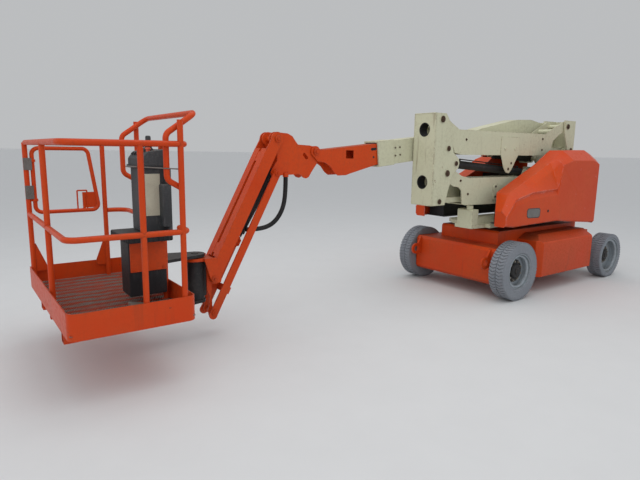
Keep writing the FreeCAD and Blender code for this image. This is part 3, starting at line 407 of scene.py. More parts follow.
def worn_finish(name, colour, faded, dirt, chip, rough, metal=0.0, coat=0.0, scale=1.0,
                fade=0.6, grime=0.35, runs=0.25, chips=0.5, low=0.3, dent=0.0015, edge=0.5,
                top=0.3):
    """Weathered finish: fading, grime, run marks, settled dirt, worn edges and chips over one base
    colour. Edges and chips take the chip colour; where it is pale, as on the mouldings, the edge
    band is partly a painted highlight."""
    tree, shader = new_material(name)
    out = weathered(tree, scale)
    base = mix(tree, times(tree, out["Fade"], fade), colour, faded)
    base = mix(tree, times(tree, out["Runs"], runs), base, dirt)
    dusty = plus(tree, times(tree, out["Grime"], grime), times(tree, out["Low"], low))
    base = mix(tree, times(tree, dusty, out["Fade"]), base, dirt)
    base = mix(tree, times(tree, out["Top"], top), base, dirt)
    # Chips and the edge band mix to the chip colour: wear, and on pale-chipped finishes partly a
    # painted edge highlight.
    chips_edges_and_highlight = plus(tree, times(tree, out["Chips"], chips), times(tree, out["Edge"], edge))
    base = mix(tree, chips_edges_and_highlight, base, chip)
    rougher = plus(tree, times(tree, plus(tree, out["Grime"], out["Top"]), 0.22), rough)
    bump = node(tree, "ShaderNodeBump",
                {"Height": out["Height"], "Strength": 0.35, "Distance": dent})
    for label, value in (("Base Color", base), ("Roughness", rougher), ("Metallic", metal),
                         ("Coat Weight", coat), ("Coat Roughness", 0.18),
                         ("Specular IOR Level", 0.18), ("Normal", bump.outputs[0])):
        feed(tree, shader.inputs[label], value)


def make_materials(settings):
    """Every finish of the lift, from the colours in the panel."""
    orange, cream = settings.orange, settings.cream
    sun_orange = [orange[0] + 0.05, orange[1] + 0.026, orange[2] + 0.005]
    # Pale orange for the mouldings' scuffs and edges; along the edges it is partly a painted
    # highlight.
    scuff_and_edge_highlight = [0.50 + 0.4 * c for c in orange]
    chalky = [0.93 * c for c in cream]
    # name, base, faded, dirt, chipped to, roughness, amounts
    rows = (
        ("orange_paint", orange, sun_orange, (0.13, 0.045, 0.022), (0.09, 0.04, 0.025), 0.36,
         dict(coat=0.03, fade=0.6, grime=0.25, runs=0.2, chips=0.6, low=0.3, edge=0.45, top=0.5)),
        # Mouldings: edges and chips go pale, which is scuffing and, along the edges, partly a
        # painted highlight.
        ("orange_moulding", orange, sun_orange, (0.26, 0.09, 0.05), scuff_and_edge_highlight, 0.30,
         dict(coat=0.05, scale=0.8, fade=0.7, grime=0.2, runs=0.15, chips=0.25, low=0.1,
              dent=0.001, edge=0.38, top=0.15)),
        ("cream_paint", cream, chalky, (0.27, 0.23, 0.15), (0.15, 0.075, 0.035), 0.40,
         dict(coat=0.04, fade=0.6, grime=0.45, runs=0.18, chips=0.75, low=0.1, edge=0.6,
              top=0.25)),
        ("cream_front", cream, chalky, (0.20, 0.13, 0.07), (0.12, 0.055, 0.025), 0.42,
         dict(coat=0.1, scale=0.8, fade=0.7, grime=0.5, runs=0.55, chips=0.9, low=0.1, edge=0.9,
              top=0.25)),
        ("black_paint", (0.018, 0.018, 0.02), (0.04, 0.04, 0.04), (0.11, 0.10, 0.09),
         (0.16, 0.13, 0.11), 0.42, dict(fade=0.5, grime=0.5, runs=0.2, chips=0.3, top=0.5)),
        ("chromed_rod", (0.62, 0.62, 0.63), (0.50, 0.50, 0.50), (0.12, 0.10, 0.07),
         (0.35, 0.33, 0.30), 0.12, dict(metal=1.0, fade=0.2, grime=0.2, runs=0.1, chips=0.1,
                                        low=0.0, dent=0.0002, edge=0.1, top=0.1)),
        ("grey_tyre", (0.21, 0.225, 0.25), (0.31, 0.33, 0.365), (0.12, 0.115, 0.105),
         (0.08, 0.075, 0.07), 0.80, dict(scale=1.6, fade=0.6, grime=0.6, runs=0.1, chips=0.3,
                                         low=0.1, dent=0.002, edge=0.3, top=0.3)),
        ("rim_paint", (0.33, 0.38, 0.42), (0.44, 0.48, 0.51), (0.14, 0.12, 0.10),
         (0.07, 0.05, 0.04), 0.42, dict(metal=0.35, scale=1.6, fade=0.6, grime=0.6, runs=0.2,
                                        chips=0.6, edge=0.4, top=0.4)),
        ("black_plastic", (0.018, 0.019, 0.021), (0.035, 0.036, 0.038), (0.10, 0.098, 0.092),
         (0.06, 0.06, 0.06), 0.46, dict(scale=2.0, fade=0.6, grime=0.35, runs=0.15, chips=0.3,
                                        low=0.0, dent=0.001, edge=0.5, top=0.7)),
        ("slate_plastic", (0.040, 0.044, 0.047), (0.065, 0.070, 0.074), (0.15, 0.148, 0.14),
         (0.13, 0.13, 0.13), 0.50, dict(scale=2.0, fade=0.7, grime=0.5, runs=0.3, chips=0.5,
                                        low=0.0, dent=0.001, edge=0.6, top=0.9)),
        ("black_rubber", (0.015, 0.015, 0.016), (0.028, 0.028, 0.028), (0.08, 0.075, 0.07),
         (0.035, 0.035, 0.035), 0.5, dict(scale=3.0, fade=0.5, grime=0.4, runs=0.0, chips=0.2,
                                          low=0.0, dent=0.001, edge=0.2, top=0.3)),
        ("zinc_bolt", (0.36, 0.34, 0.30), (0.26, 0.22, 0.17), (0.13, 0.08, 0.05),
         (0.20, 0.09, 0.05), 0.4, dict(metal=0.8, scale=6.0, fade=0.6, grime=0.5, runs=0.1,
                                       chips=0.6, low=0.0, dent=0.0005, edge=0.2, top=0.2)),
        ("pale_label", (0.56, 0.54, 0.42), (0.45, 0.43, 0.33), (0.28, 0.24, 0.17),
         (0.34, 0.30, 0.23), 0.45, dict(scale=3.0, fade=0.6, grime=0.4, runs=0.2, chips=0.4,
                                        low=0.0, dent=0.0003, edge=0.3, top=0.1)),
        ("dark_badge", (0.040, 0.036, 0.035), (0.08, 0.075, 0.07), (0.18, 0.15, 0.13),
         (0.26, 0.25, 0.24), 0.35, dict(scale=4.0, fade=0.5, grime=0.3, runs=0.1, chips=0.3,
                                        low=0.0, dent=0.0002, edge=0.4, top=0.1)),
        ("rusty_bolt", (0.065, 0.035, 0.023), (0.13, 0.085, 0.06), (0.045, 0.023, 0.014),
         (0.19, 0.14, 0.10), 0.55, dict(metal=0.4, scale=5.0, fade=0.6, grime=0.5, runs=0.1,
                                        chips=0.5, low=0.0, dent=0.0006, edge=0.5, top=0.2)),
        ("worn_steel", (0.26, 0.25, 0.24), (0.19, 0.175, 0.16), (0.13, 0.09, 0.06),
         (0.16, 0.10, 0.07), 0.42, dict(metal=0.85, scale=4.0, fade=0.6, grime=0.5, runs=0.1,
                                        chips=0.5, low=0.0, dent=0.0006, edge=0.4, top=0.2)),
    )
    for name, base, faded, dirt, chip, rough, amounts in rows:
        worn_finish(name, base, faded, dirt, chip, rough, **amounts)
    make_floor_finish(orange)


def make_floor_finish(orange):
    """Walked-on orange mesh, rubbed to bare steel in bands between its bearers."""
    tree, shader = new_material("floor_mesh")
    out = weathered(tree, 2.4)
    coords = node(tree, "ShaderNodeTexCoord")
    bands = node(tree, "ShaderNodeTexWave", {
        "Vector": coords.outputs["Object"], "Scale": 3.0, "Distortion": 2.6, "Detail": 3.0,
        "Detail Scale": 2.2}, bands_direction="Y")
    rubbed = ramp(tree, bands.outputs["Fac"], ((0.30, 0.0), (0.55, 1.0)))
    rubbed = times(tree, rubbed, plus(tree, out["Fade"], 0.35))
    base = mix(tree, times(tree, out["Grime"], 0.5), orange, (0.14, 0.08, 0.06))
    steel = mix(tree, out["Grime"], (0.36, 0.33, 0.29), (0.17, 0.14, 0.11))
    base = mix(tree, rubbed, base, steel)
    base = mix(tree, times(tree, out["Chips"], 0.8), base, (0.50, 0.46, 0.40))
    for label, value in (("Base Color", base), ("Metallic", times(tree, rubbed, 0.6)),
                         ("Roughness", plus(tree, times(tree, out["Grime"], 0.3), 0.45))):
        feed(tree, shader.inputs[label], value)


# Settings shown in the sidebar
class FinishSettings(bpy.types.PropertyGroup):
    orange: bpy.props.FloatVectorProperty(
        name="Orange", description="Base colour of the orange paint and mouldings",
        subtype="COLOR", size=3, min=0.0, max=1.0, default=(0.58, 0.050, 0.006))
    cream: bpy.props.FloatVectorProperty(
        name="Cream", description="Base colour of the cream paint", subtype="COLOR", size=3,
        min=0.0, max=1.0, default=(0.60, 0.59, 0.42))
    edge: bpy.props.FloatProperty(
        name="Edge rounding", description="Rounding of plate edges, in metres",
        subtype="DISTANCE", unit="LENGTH", default=0.0025, min=0.0, max=0.01)


class WheelSettings(bpy.types.PropertyGroup):
    tread_depth: bpy.props.FloatProperty(
        name="Tread depth", description="Height of the tread blocks", subtype="DISTANCE",
        unit="LENGTH", default=0.009, min=0.001, max=0.02)
    blocks: bpy.props.IntProperty(
        name="Tread blocks", description="Blocks round one tyre", default=54, min=12, max=120)
    bolts: bpy.props.IntProperty(
        name="Wheel bolts", description="Bolts round each hub", default=9, min=4, max=16)


class PlatformSettings(bpy.types.PropertyGroup):
    mesh_long: bpy.props.FloatProperty(
        name="Mesh length", description="Long diagonal of a floor mesh opening",
        subtype="DISTANCE", unit="LENGTH", default=0.040, min=0.01, max=0.1)
    mesh_short: bpy.props.FloatProperty(
        name="Mesh width", description="Short diagonal of a floor mesh opening",
        subtype="DISTANCE", unit="LENGTH", default=0.018, min=0.005, max=0.05)
    strand: bpy.props.FloatProperty(
        name="Strand", description="Thickness of the floor mesh's strands",
        subtype="DISTANCE", unit="LENGTH", default=0.0050, min=0.001, max=0.01)


class StageSettings(bpy.types.PropertyGroup):
    key_power: bpy.props.FloatProperty(
        name="Key light", description="Power of the large overhead light", subtype="POWER",
        unit="POWER", default=150.0, min=0.0, max=5000.0)
    fill_power: bpy.props.FloatProperty(
        name="Fill light", description="Power of the light beside the camera", subtype="POWER",
        unit="POWER", default=45.0, min=0.0, max=5000.0)
    sky: bpy.props.FloatProperty(
        name="Surround", description="Strength of the surrounding light", default=0.72,
        min=0.0, max=2.0)
    floor: bpy.props.FloatVectorProperty(
        name="Floor", description="Colour of the floor", subtype="COLOR", size=3, min=0.0,
        max=1.0, default=(0.66, 0.66, 0.655))


def settings(name):
    return getattr(bpy.context.scene, name)


class OBJECT_OT_lift_finishes(bpy.types.Operator):
    """Make the finishes and put one on every CAD node"""
    bl_idname = "object.lift_finishes"
    bl_label = "Finishes"

    def execute(self, context):
        make_weather_group()
        make_materials(settings("lift_finish"))
        for part in frame["record"]["subparts"]:
            obj = frame["nodes"][part["node"]]
            obj.data.materials.clear()
            obj.data.materials.append(bpy.data.materials[part["material_slot"]])
        return {"FINISHED"}


class OBJECT_OT_lift_plates(bpy.types.Operator):
    """Round off the edges of the fabricated and moulded pieces"""
    bl_idname = "object.lift_plates"
    bl_label = "Plates and mouldings"

    def execute(self, context):
        edge = settings("lift_finish").edge * METRE
        # node, share of the edge width, moulded width, finish
        for name, share, *special in (
                ("chassis_frame", 1.6), ("battery_box_left", 5.0), ("battery_box_right", 5.0),
                ("counterweight", 1.0), ("turntable_frame", 0.9), ("lower_arm", 0.8),
                ("upper_arm", 0.8), ("upright", 0.9), ("boom_mount", 0.9), ("boom_base", 1.0),
                ("boom_fly", 1.0), ("level_head", 0.9), ("jib_arm", 1.2), ("jib_link", 1.0),
                ("jib_head", 0.9), ("platform_tray", 0.9), ("console_shelf", 3.5),
                ("console_cabinet", 4.0), ("rotator", 1.0), ("hood_left", 1.0, HOOD_MOULDED),
                ("hood_right", 1.0, HOOD_MOULDED), ("upright_front", 1.0, 0.0, "cream_front"),
                ("console_head", 4.0, 0.0, "slate_plastic"),
                ("console_pedestal", 4.0, 0.0, "slate_plastic"),
                ("foot_switch", 2.0, 0.0, "zinc_bolt")):
            soften(name, edge * share, *special)
        return {"FINISHED"}


WHEELS = (
    # name, x, side, tyre radius, seat radius
    ("front_left", 1000.0, 1, 317.5, 196.0),
    ("front_right", 1000.0, -1, 317.5, 196.0),
    ("rear_left", -1000.0, 1, 279.5, 226.0),
    ("rear_right", -1000.0, -1, 279.5, 226.0),
)


class OBJECT_OT_lift_tyres(bpy.types.Operator):
    """Turn the four non-marking tyres and raise their tread blocks"""
    bl_idname = "object.lift_tyres"
    bl_label = "Tyres"

    def execute(self, context):
        wheel = settings("lift_wheel")
        depth, pitch = wheel.tread_depth * METRE, math.tau / wheel.blocks
        width = TYRE_OUT - TYRE_IN
        for name, x, side, radius, seat in WHEELS:
            low = radius - depth
            wall = [(seat, 8.0), (seat + 12, 0.0), (seat + 26, 1.5), (low - 30, 1.5),
                    (low - 18, 0.0), (low - 5, 4.0)]
            rows = (TREAD_EDGE, TREAD_BENT[0], TREAD_MIDDLE, TREAD_BENT[1], width - TREAD_EDGE)
            profile = (wall + [(low, row) for row in rows]
                       + [(r, width - row) for r, row in reversed(wall)])
            offset = TYRE_IN if side > 0 else -TYRE_OUT
            bm = ring(profile, (x, offset, radius), "y", wheel.blocks)
            centre = place(x, offset, radius)
            bent = []
            for vert in bm.verts:
                out = (vert.co - centre) * METRE
                if math.hypot(out.x, out.z) > low - 1.0:
                    if min(abs(out.y - row) for row in TREAD_BENT) < 1.0:
                        bent.append(vert)
            bmesh.ops.rotate(bm, verts=bent, cent=centre, matrix=Matrix.Rotation(pitch / 2, 3, "Y"))
            lugs = {}
            for face in bm.faces:
                out = (face.calc_center_median() - centre) * METRE
                if math.hypot(out.x, out.z) > low - 4.5:
                    turn = math.atan2(out.z, out.x) + pitch / 4
                    key = (round(turn / pitch - 0.5) % wheel.blocks, out.y > TREAD_MIDDLE)
                    lugs.setdefault(key, []).append(face)
            for faces in lugs.values():
                bmesh.ops.inset_region(bm, faces=faces, thickness=TREAD_GROOVE, depth=0.0,
                                       use_even_offset=True)
                bmesh.ops.inset_region(bm, faces=faces, thickness=TREAD_TAPER,
                                       depth=depth / 1010.0, use_even_offset=True)
            obj = finish_mesh(bm, "tread_" + name, "grey_tyre", "wheel_" + name, 28.0)
            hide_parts("tyre_" + name)
        return {"FINISHED"}


class OBJECT_OT_lift_hubs(bpy.types.Operator):
    """Dress the rims with hub covers, bolts and stepped rings"""
    bl_idname = "object.lift_hubs"
    bl_label = "Hubs and bolts"

    def execute(self, context):
        count = settings("lift_wheel").bolts
        for name, x, side, radius, seat in WHEELS:
            body = "wheel_" + name
            dish, hub, circle = ((78.0, 78.0, 104.0) if name.startswith("front")
                                 else (96.0, 60.0, 92.0))
            face, r = side * (TYRE_OUT - dish), seat - 16.0
            cover = ((circle + 20, 0.0), (circle + 20, 2.0), (circle + 17, 4.0), (hub + 2, 4.0),
                     (hub + 2, 20.0), (hub - 10, 32.0), (34.0, 34.0), (30.0, 46.0), (0.5, 48.0),
                     (0.5, 0.0))
            make("hub_cover_" + name, "black_paint", body,
                 ring(cover, (x, face, radius), "y", 40, side))
            turns = [math.tau * i / count for i in range(count)]
            make("wheel_bolts_" + name, "zinc_bolt", body,
                 *(bolt(x + circle * math.cos(a), face + side * 3.5,
                        radius + circle * math.sin(a), "y", 10.0, side * 14.0) for a in turns))
            step = ((r, -26.0), (r - 4, -22.0), (r - 22, -30.0), (r - 26, -44.0), (r - 21, -46.0),
                    (r - 17, -36.0), (r - 2, -30.0))
            make("rim_step_" + name, "rim_paint", body,
                 ring(step, (x, side * TYRE_OUT, radius), "y", 64, side))
        return {"FINISHED"}


LINK_PINS = (
    # body, finish, outer faces (y, facing), pins (x, z, radius)
    ("upright", "rusty_bolt", ((268.0, 1), (-28.0, -1)),
     ((1800.0, 1890.0, 28.0), (1690.0, 1350.0, 28.0), (1790.0, 1062.0, 22.0),
      (1690.0, 1602.0, 22.0), (*TOWER_HEAD, 20.0))),
    ("turntable", "rusty_bolt", ((268.0, 1), (-28.0, -1)),
     ((-560.0, 1320.0, 28.0), (-460.0, 1032.0, 22.0))),
    ("boom_mount", "rusty_bolt", ((268.0, 1),), ((-560.0, 1905.0, 28.0), (-670.0, 1617.0, 22.0))),
    ("boom_mount", "rusty_bolt", ((-268.0, -1),), ((*BOOM_PIVOT, 32.0), (*LIFT_FOOT, 24.0))),
    ("boom_base", "zinc_bolt", ((-195.0, -1), (-85.0, 1)), ((*LIFT_HEAD, 24.0),)),
    ("level_head", "orange_paint", ((-234.0, -1), (-46.0, 1)), ((3125.0, 1552.0, 25.0),)),
    ("level_head", "orange_paint", ((-252.0, -1), (-28.0, 1)),
     ((*JIB_PIN, 24.0), (*JIB_LINK, 22.0))),
    ("jib_head", "orange_paint", ((-264.0, -1), (-16.0, 1)),
     ((*along(JIB_PIN, JIB_DROP, JIB_LEN, 0), 24.0),)),
    ("jib_head", "orange_paint", ((-252.0, -1), (-28.0, 1)),
     ((*along(JIB_LINK, JIB_DROP, JIB_LEN, 0), 22.0),)),
)


class OBJECT_OT_lift_pins(bpy.types.Operator):
    """Bolt a keeper on both ends of every linkage pin"""
    bl_idname = "object.lift_pins"
    bl_label = "Pin keepers"

    def execute(self, context):
        pins = [(body, finish, faces, pin) for body, finish, faces, row in LINK_PINS
                for pin in row]
        for i, (body, finish, faces, (x, z, r)) in enumerate(pins):
            keeper = ((0.5, 0.0), (r + 5, 0.0), (r + 5, 2.5), (r + 3, 4.5), (r * 0.7, 5.0),
                      (0.5, 5.0))
            shapes = []
            for y, way in faces:
                shapes += [ring(keeper, (x, y, z), "y", 32, way),
                           bolt(x, y + way * 4.5, z, "y", r * 0.5, way * 8.0)]
            make("pin_keeper_%02d" % i, finish, body, *shapes)
        return {"FINISHED"}


class OBJECT_OT_lift_tower_fittings(bpy.types.Operator):
    """Fit bolts, weld beads and window sleeves to the tower, boom and collar; the black window
    sleeves are painted shade that keeps the windows dark inside
    """
    bl_idname = "object.lift_tower_fittings"
    bl_label = "Tower and boom fittings"

    def execute(self, context):
        welds = [((1901.0, y, 1024.0), (1901.0, y, 1946.0)) for y in (-19.0, 259.0)]
        welds += [((1901.0, -18.0, z), (1901.0, 258.0, z)) for z in (1023.0, 1947.0)]
        make("upright_weld_beads", "cream_paint", "upright",
             *(rod(p, q, 4.5, 0, 8) for p, q in welds))
        # Painted shade: black sleeves line the two windows so the holes look dark inside instead of
        # showing the cream box behind.
        shade_lining = ((65.5, 0.0), (65.5, -104.0), (62.0, -104.0), (62.0, -1.0), (64.0, 1.5),
                  (70.0, 1.5), (70.0, 0.5))
        make("window_shade_sleeves", "black_rubber", "upright",
             *(ring(shade_lining, (1902.0, 120.0, z), "x", 56) for z in (1786.0, 1257.0)))
        stud = ((0.5, 0.0), (22.0, 0.0), (22.0, 3.0), (19.0, 6.0), (13.0, 7.0), (0.5, 7.0))
        make("upper_lug_studs", "cream_paint", "upper_arm",
             *(ring(stud, (x, LUG_SIDE, 1617.0), "y", 32) for x in (690.0, 500.0)))
        make("upper_lug_pins", "rusty_bolt", "upper_arm",
             *(ring(((0.5, -14.0), (r, -14.0), (r, 2.0), (r - 2, 4.0), (0.5, 4.0)),
                    (x, LUG_SIDE, z), "y", 24)
               for x, z, r in ((610.0, 1385.0, 15.5), (560.0, 1450.0, 13.5))))
        for arm, spots in (
                ("upper_arm", ((1380.0, ARM_SIDE, 1700.0), (-60.0, ARM_SIDE, 1610.0),
                               (-60.0, ARM_SIDE, 1740.0))),
                ("lower_arm", ((1435.0, ARM_SIDE, 1268.0), (1301.0, ARM_SIDE, 1121.0),
                               (820.0, LUG_SIDE, 1190.0), (820.0, LUG_SIDE, 1075.0)))):
            make(arm + "_bolts", "rusty_bolt", arm, *(bolt(*spot, "y", 9.0, 7.0) for spot in spots))
        screw = ((3.0, -1.0), (9.0, -1.0), (9.5, 1.2), (6.5, 1.2), (5.5, -0.5), (3.0, -0.5))
        spots = ((2146.0, 1603.0), (2084.0, 1609.0), (2141.0, 1523.0), (2075.0, 1532.0))
        make("collar_screws", "rusty_bolt", "boom_base",
             *(ring(screw, (x, y, z), "y", 20, way)
               for x, z in spots for y, way in ((-37.0, 1), (-243.0, -1))))
        pads = []
        for n0, n1 in ((104.0, 112.0), (-112.0, -104.0)):
            row = [along(BOOM_PIVOT, BOOM_DROP, s, n)
                   for s, n in ((3011.0, n0), (3024.0, n0), (3024.0, n1), (3011.0, n1))]
            pads.append(plate(row, "y", BOOM_Y - 70.0, BOOM_Y + 70.0, 1.0))
        make("wear_pad_keepers", "black_plastic", "boom_base", *pads)
        # Painted shade: thin flat black shapes on the fly's sides, a slot outline and a round spot,
        # stand in for the dark of the slots' openings.
        outline = ((2402.0, 1573.0), (2446.0, 1569.0), (2446.0, 1595.0), (2402.0, 1599.0))
        slot_shade_shapes = []
        for y in (-57.6, -222.4):
            low, high = y - 0.8, y + 0.8
            slot_shade_shapes += [rod((2402.0, low, 1586.0), (2402.0, high, 1586.0), 13.0, 0),
                      rod((2446.0, low, 1582.0), (2446.0, high, 1582.0), 13.0, 0),
                      plate(outline, "y", low, high, 0),
                      rod((2422.0, low, 1506.0), (2422.0, high, 1506.0), 11.0, 0)]
        make("fly_slot_shade", "black_plastic", "boom_fly", *slot_shade_shapes)
        return {"FINISHED"}


CYLINDERS = (
    # name, foot, head, y, barrel radius, barrel length, ports up or aside
    ("tower", TOWER_FOOT, TOWER_HEAD, 120.0, 44.0, 1250.0, (1.0, 0.0)),
    ("lift", LIFT_FOOT, LIFT_HEAD, BOOM_Y, 45.0, 770.0, (1.0, 0.0)),
    ("jib", JIB_LINK, along(JIB_PIN, JIB_DROP, 940.0, -90.0), BOOM_Y, 34.0, 600.0, (0.0, -1.0)),
)


class OBJECT_OT_lift_cylinders(bpy.types.Operator):
    """Fit glands, ports and hard pipes to the cylinders"""
    bl_idname = "object.lift_cylinders"
    bl_label = "Cylinder fittings"

    def execute(self, context):
        for name, foot, head, y, r, length, (up, aside) in CYLINDERS:
            drop = -math.atan2(head[1] - foot[1], head[0] - foot[0])

            def spot(s, out):
                x, z = along(foot, drop, s, up * out)
                return x, y + aside * out, z

            shapes = [rod(spot(s, 0), spot(s + width, 0), r + grow, 2.0, 40)
                      for s, grow, width in ((length - 26, 5.0, 26.0), (64.0, 4.0, 14.0))]
            for s in (96.0, length - 70):
                shapes += [rod(spot(s, r - 4), spot(s, r + 14), 11.0, 1.0, 20),
                           rod(spot(s, r + 14), spot(s, r + 22), 9.0, 0.8, 6)]
            shapes.append(rod(spot(96, r + 16), spot(length - 70, r + 16), 6.0, 0.5, 16))
            make(name + "_cylinder_fittings", "black_paint", name + "_barrel", *shapes)
        return {"FINISHED"}


class OBJECT_OT_lift_hood_fittings(bpy.types.Operator):
    """Fit a lock and a bare plate to each hood"""
    bl_idname = "object.lift_hood_fittings"
    bl_label = "Hood fittings"

    def execute(self, context):
        lock = ((0.5, 0.0), (15.0, 0.0), (15.0, 2.0), (12.0, 5.0), (7.0, 5.5), (6.0, 3.0),
                (0.5, 3.0))
        outline = ((548.0, 880.0), (575.0, 862.0), (778.0, 868.0), (802.0, 892.0),
                   (806.0, 950.0), (780.0, 976.0), (570.0, 972.0), (545.0, 948.0))
        cx, cz = 675.0, 920.0
        inner = [(cx + (a - cx) * 0.93, cz + (b - cz) * 0.86) for a, b in outline]
        for name, side in (("left", 1), ("right", -1)):
            y, body = side * HOOD_SIDE, "hood_" + name
            make("hood_lock_" + name, "black_plastic", body,
                 ring(lock, (389.0, y, 927.0), "y", 32, side))
            for label, finish, shape, near, far, edge in (
                    ("bare_plate_", "dark_badge", outline, 0.0, 2.0, 1.0),
                    ("bare_plate_field_", "worn_steel", inner, 1.5, 3.0, 0.6)):
                low, high = sorted((y + side * near, y + side * far))
                make(label + name, finish, body, plate(shape, "y", low, high, edge))
        return {"FINISHED"}


class OBJECT_OT_lift_console_fittings(bpy.types.Operator):
    """Fit switches, bare plates, covers and guards to the platform's console"""
    bl_idname = "object.lift_console_fittings"
    bl_label = "Console fittings"

    def execute(self, context):
        make("console_bare_plate", "pale_label", "platform",
             block(4692.0, 4794.0, 300.0, 301.6, 1105.0, 1390.0, 0.6))
        make("cabinet_cover", "orange_paint", "platform",
             block(4646.0, 4898.0, 230.0, 242.0, 707.0, 930.0, 5.0),
             *(bolt(x, 242.0, z, "y", 6.0, 5.0) for x in (4668.0, 4876.0) for z in (725.0, 912.0)))
        keys = []
        for y in range(20, 230, 42):
            keys += [rod((4712.0, y, 1546.0), (4714.0, y, 1560.0), 8.0, 1.0, 20),
                     rod((4714.0, y, 1558.0), (4718.0, y, 1582.0), 3.5, 0.6, 12)]
        keys += [rod((4786.0, y, 1522.0), (4792.0, y, 1530.0), 13.0, 1.5)
                 for y in (40.0, 95.0, 150.0)]
        make("console_switches", "black_plastic", "platform", *keys)
        make("joystick_boot", "black_rubber", "platform",
             ring(((9.5, 62.0), (12.0, 58.0), (11.0, 52.0), (17.0, 44.0), (16.0, 37.0),
                   (24.0, 28.0), (23.0, 20.0), (34.0, 8.0), (38.0, 2.0), (38.0, -4.0),
                   (9.5, -4.0)), (4740.0, 235.0, 1544.0), "z", 40))
        make("stop_button", "orange_moulding", "platform",
             rod((4760.0, 285.0, 1538.0), (4760.0, 285.0, 1553.0), 13.0, 1.0, 28),
             ring(((0.5, 8.0), (0.5, 14.0), (12.0, 14.0), (19.0, 9.0), (19.0, 3.0),
                   (14.0, 0.0), (0.5, 0.0)), (4760.0, 285.0, 1552.0), "z", 36))
        make("shelf_ribs", "black_plastic", "platform",
             *(block(x, x + 12.0, 378.0, 384.0, 940.0, 975.0, 1.5) for x in range(4665, 4922, 32)),
             *(block(4948.0, 4954.0, y, y + 14.0, 940.0, 975.0, 1.5) for y in range(-20, 351, 37)))
        make("console_rim", "black_plastic", "platform",
             *(block(x, 4818.0, y0, y1, 1424.0, 1446.0, 3.0) for x, y0, y1 in (
                 (4640.0, -26.0, -18.0), (4640.0, 308.0, 316.0), (4808.0, -26.0, 316.0))))
        make("console_guard_wire", "worn_steel", "platform",
             rod((5000.0, 604.0, 1452.0), (4662.0, 604.0, 1432.0), 4.0, 0.5, 12))
        return {"FINISHED"}


class OBJECT_OT_lift_platform_fittings(bpy.types.Operator):
    """Fit checker plates, the gate's handle and the brackets under the tray"""
    bl_idname = "object.lift_platform_fittings"
    bl_label = "Platform fittings"

    def execute(self, context):
        plates = []
        for z0, z1 in ((1378.0, 1472.0), (1150.0, 1256.0)):
            plates.append(block(5318.0, 5378.0, HINGE_PLATE - 3.5, HINGE_PLATE, z0, z1, 0.8))
            for row in range(int((z1 - z0) / 13)):
                for col in range(4):
                    x, z = 5327.0 + col * 14.0, z0 + 8.0 + row * 13.0
                    tilt = 4.0 if (row + col) % 2 else -4.0
                    plates.append(rod((x - 4.0, HINGE_PLATE, z - tilt),
                                      (x + 4.0, HINGE_PLATE, z + tilt), 1.6, 0, 6))
        make("checker_plates", "worn_steel", "platform", *plates)
        corners = ((4925.0, 1050.0), (4925.0, 1205.0), (5000.0, 1205.0), (5000.0, 1050.0))
        make("gate_handle", "orange_paint", "gate",
             *(rod((x0, GATE_Y, z0), (x1, GATE_Y, z1), 6.0, 1.0, 14)
               for (x0, z0), (x1, z1) in zip(corners, corners[1:])))
        brackets = []
        for y, half, drop in ((-330.0, 38.0, 46.0), (20.0, 16.0, 26.0), (450.0, 34.0, 60.0)):
            low = TRAY_UNDERSIDE - drop
            brackets.append(block(5300.0, 5384.0, y - half, y + half, low, low + 8.0, 2.0))
            for wall in (y - half + 3.0, y + half - 3.0):
                brackets.append(block(5300.0, 5384.0, wall - 3.0, wall + 3.0, low + 7.0,
                                      TRAY_UNDERSIDE, 1.0))
            brackets.append(bolt(5342.0, y, low, "z", 8.0, -7.0))
        make("tray_brackets", "orange_paint", "platform", *brackets)
        return {"FINISHED"}


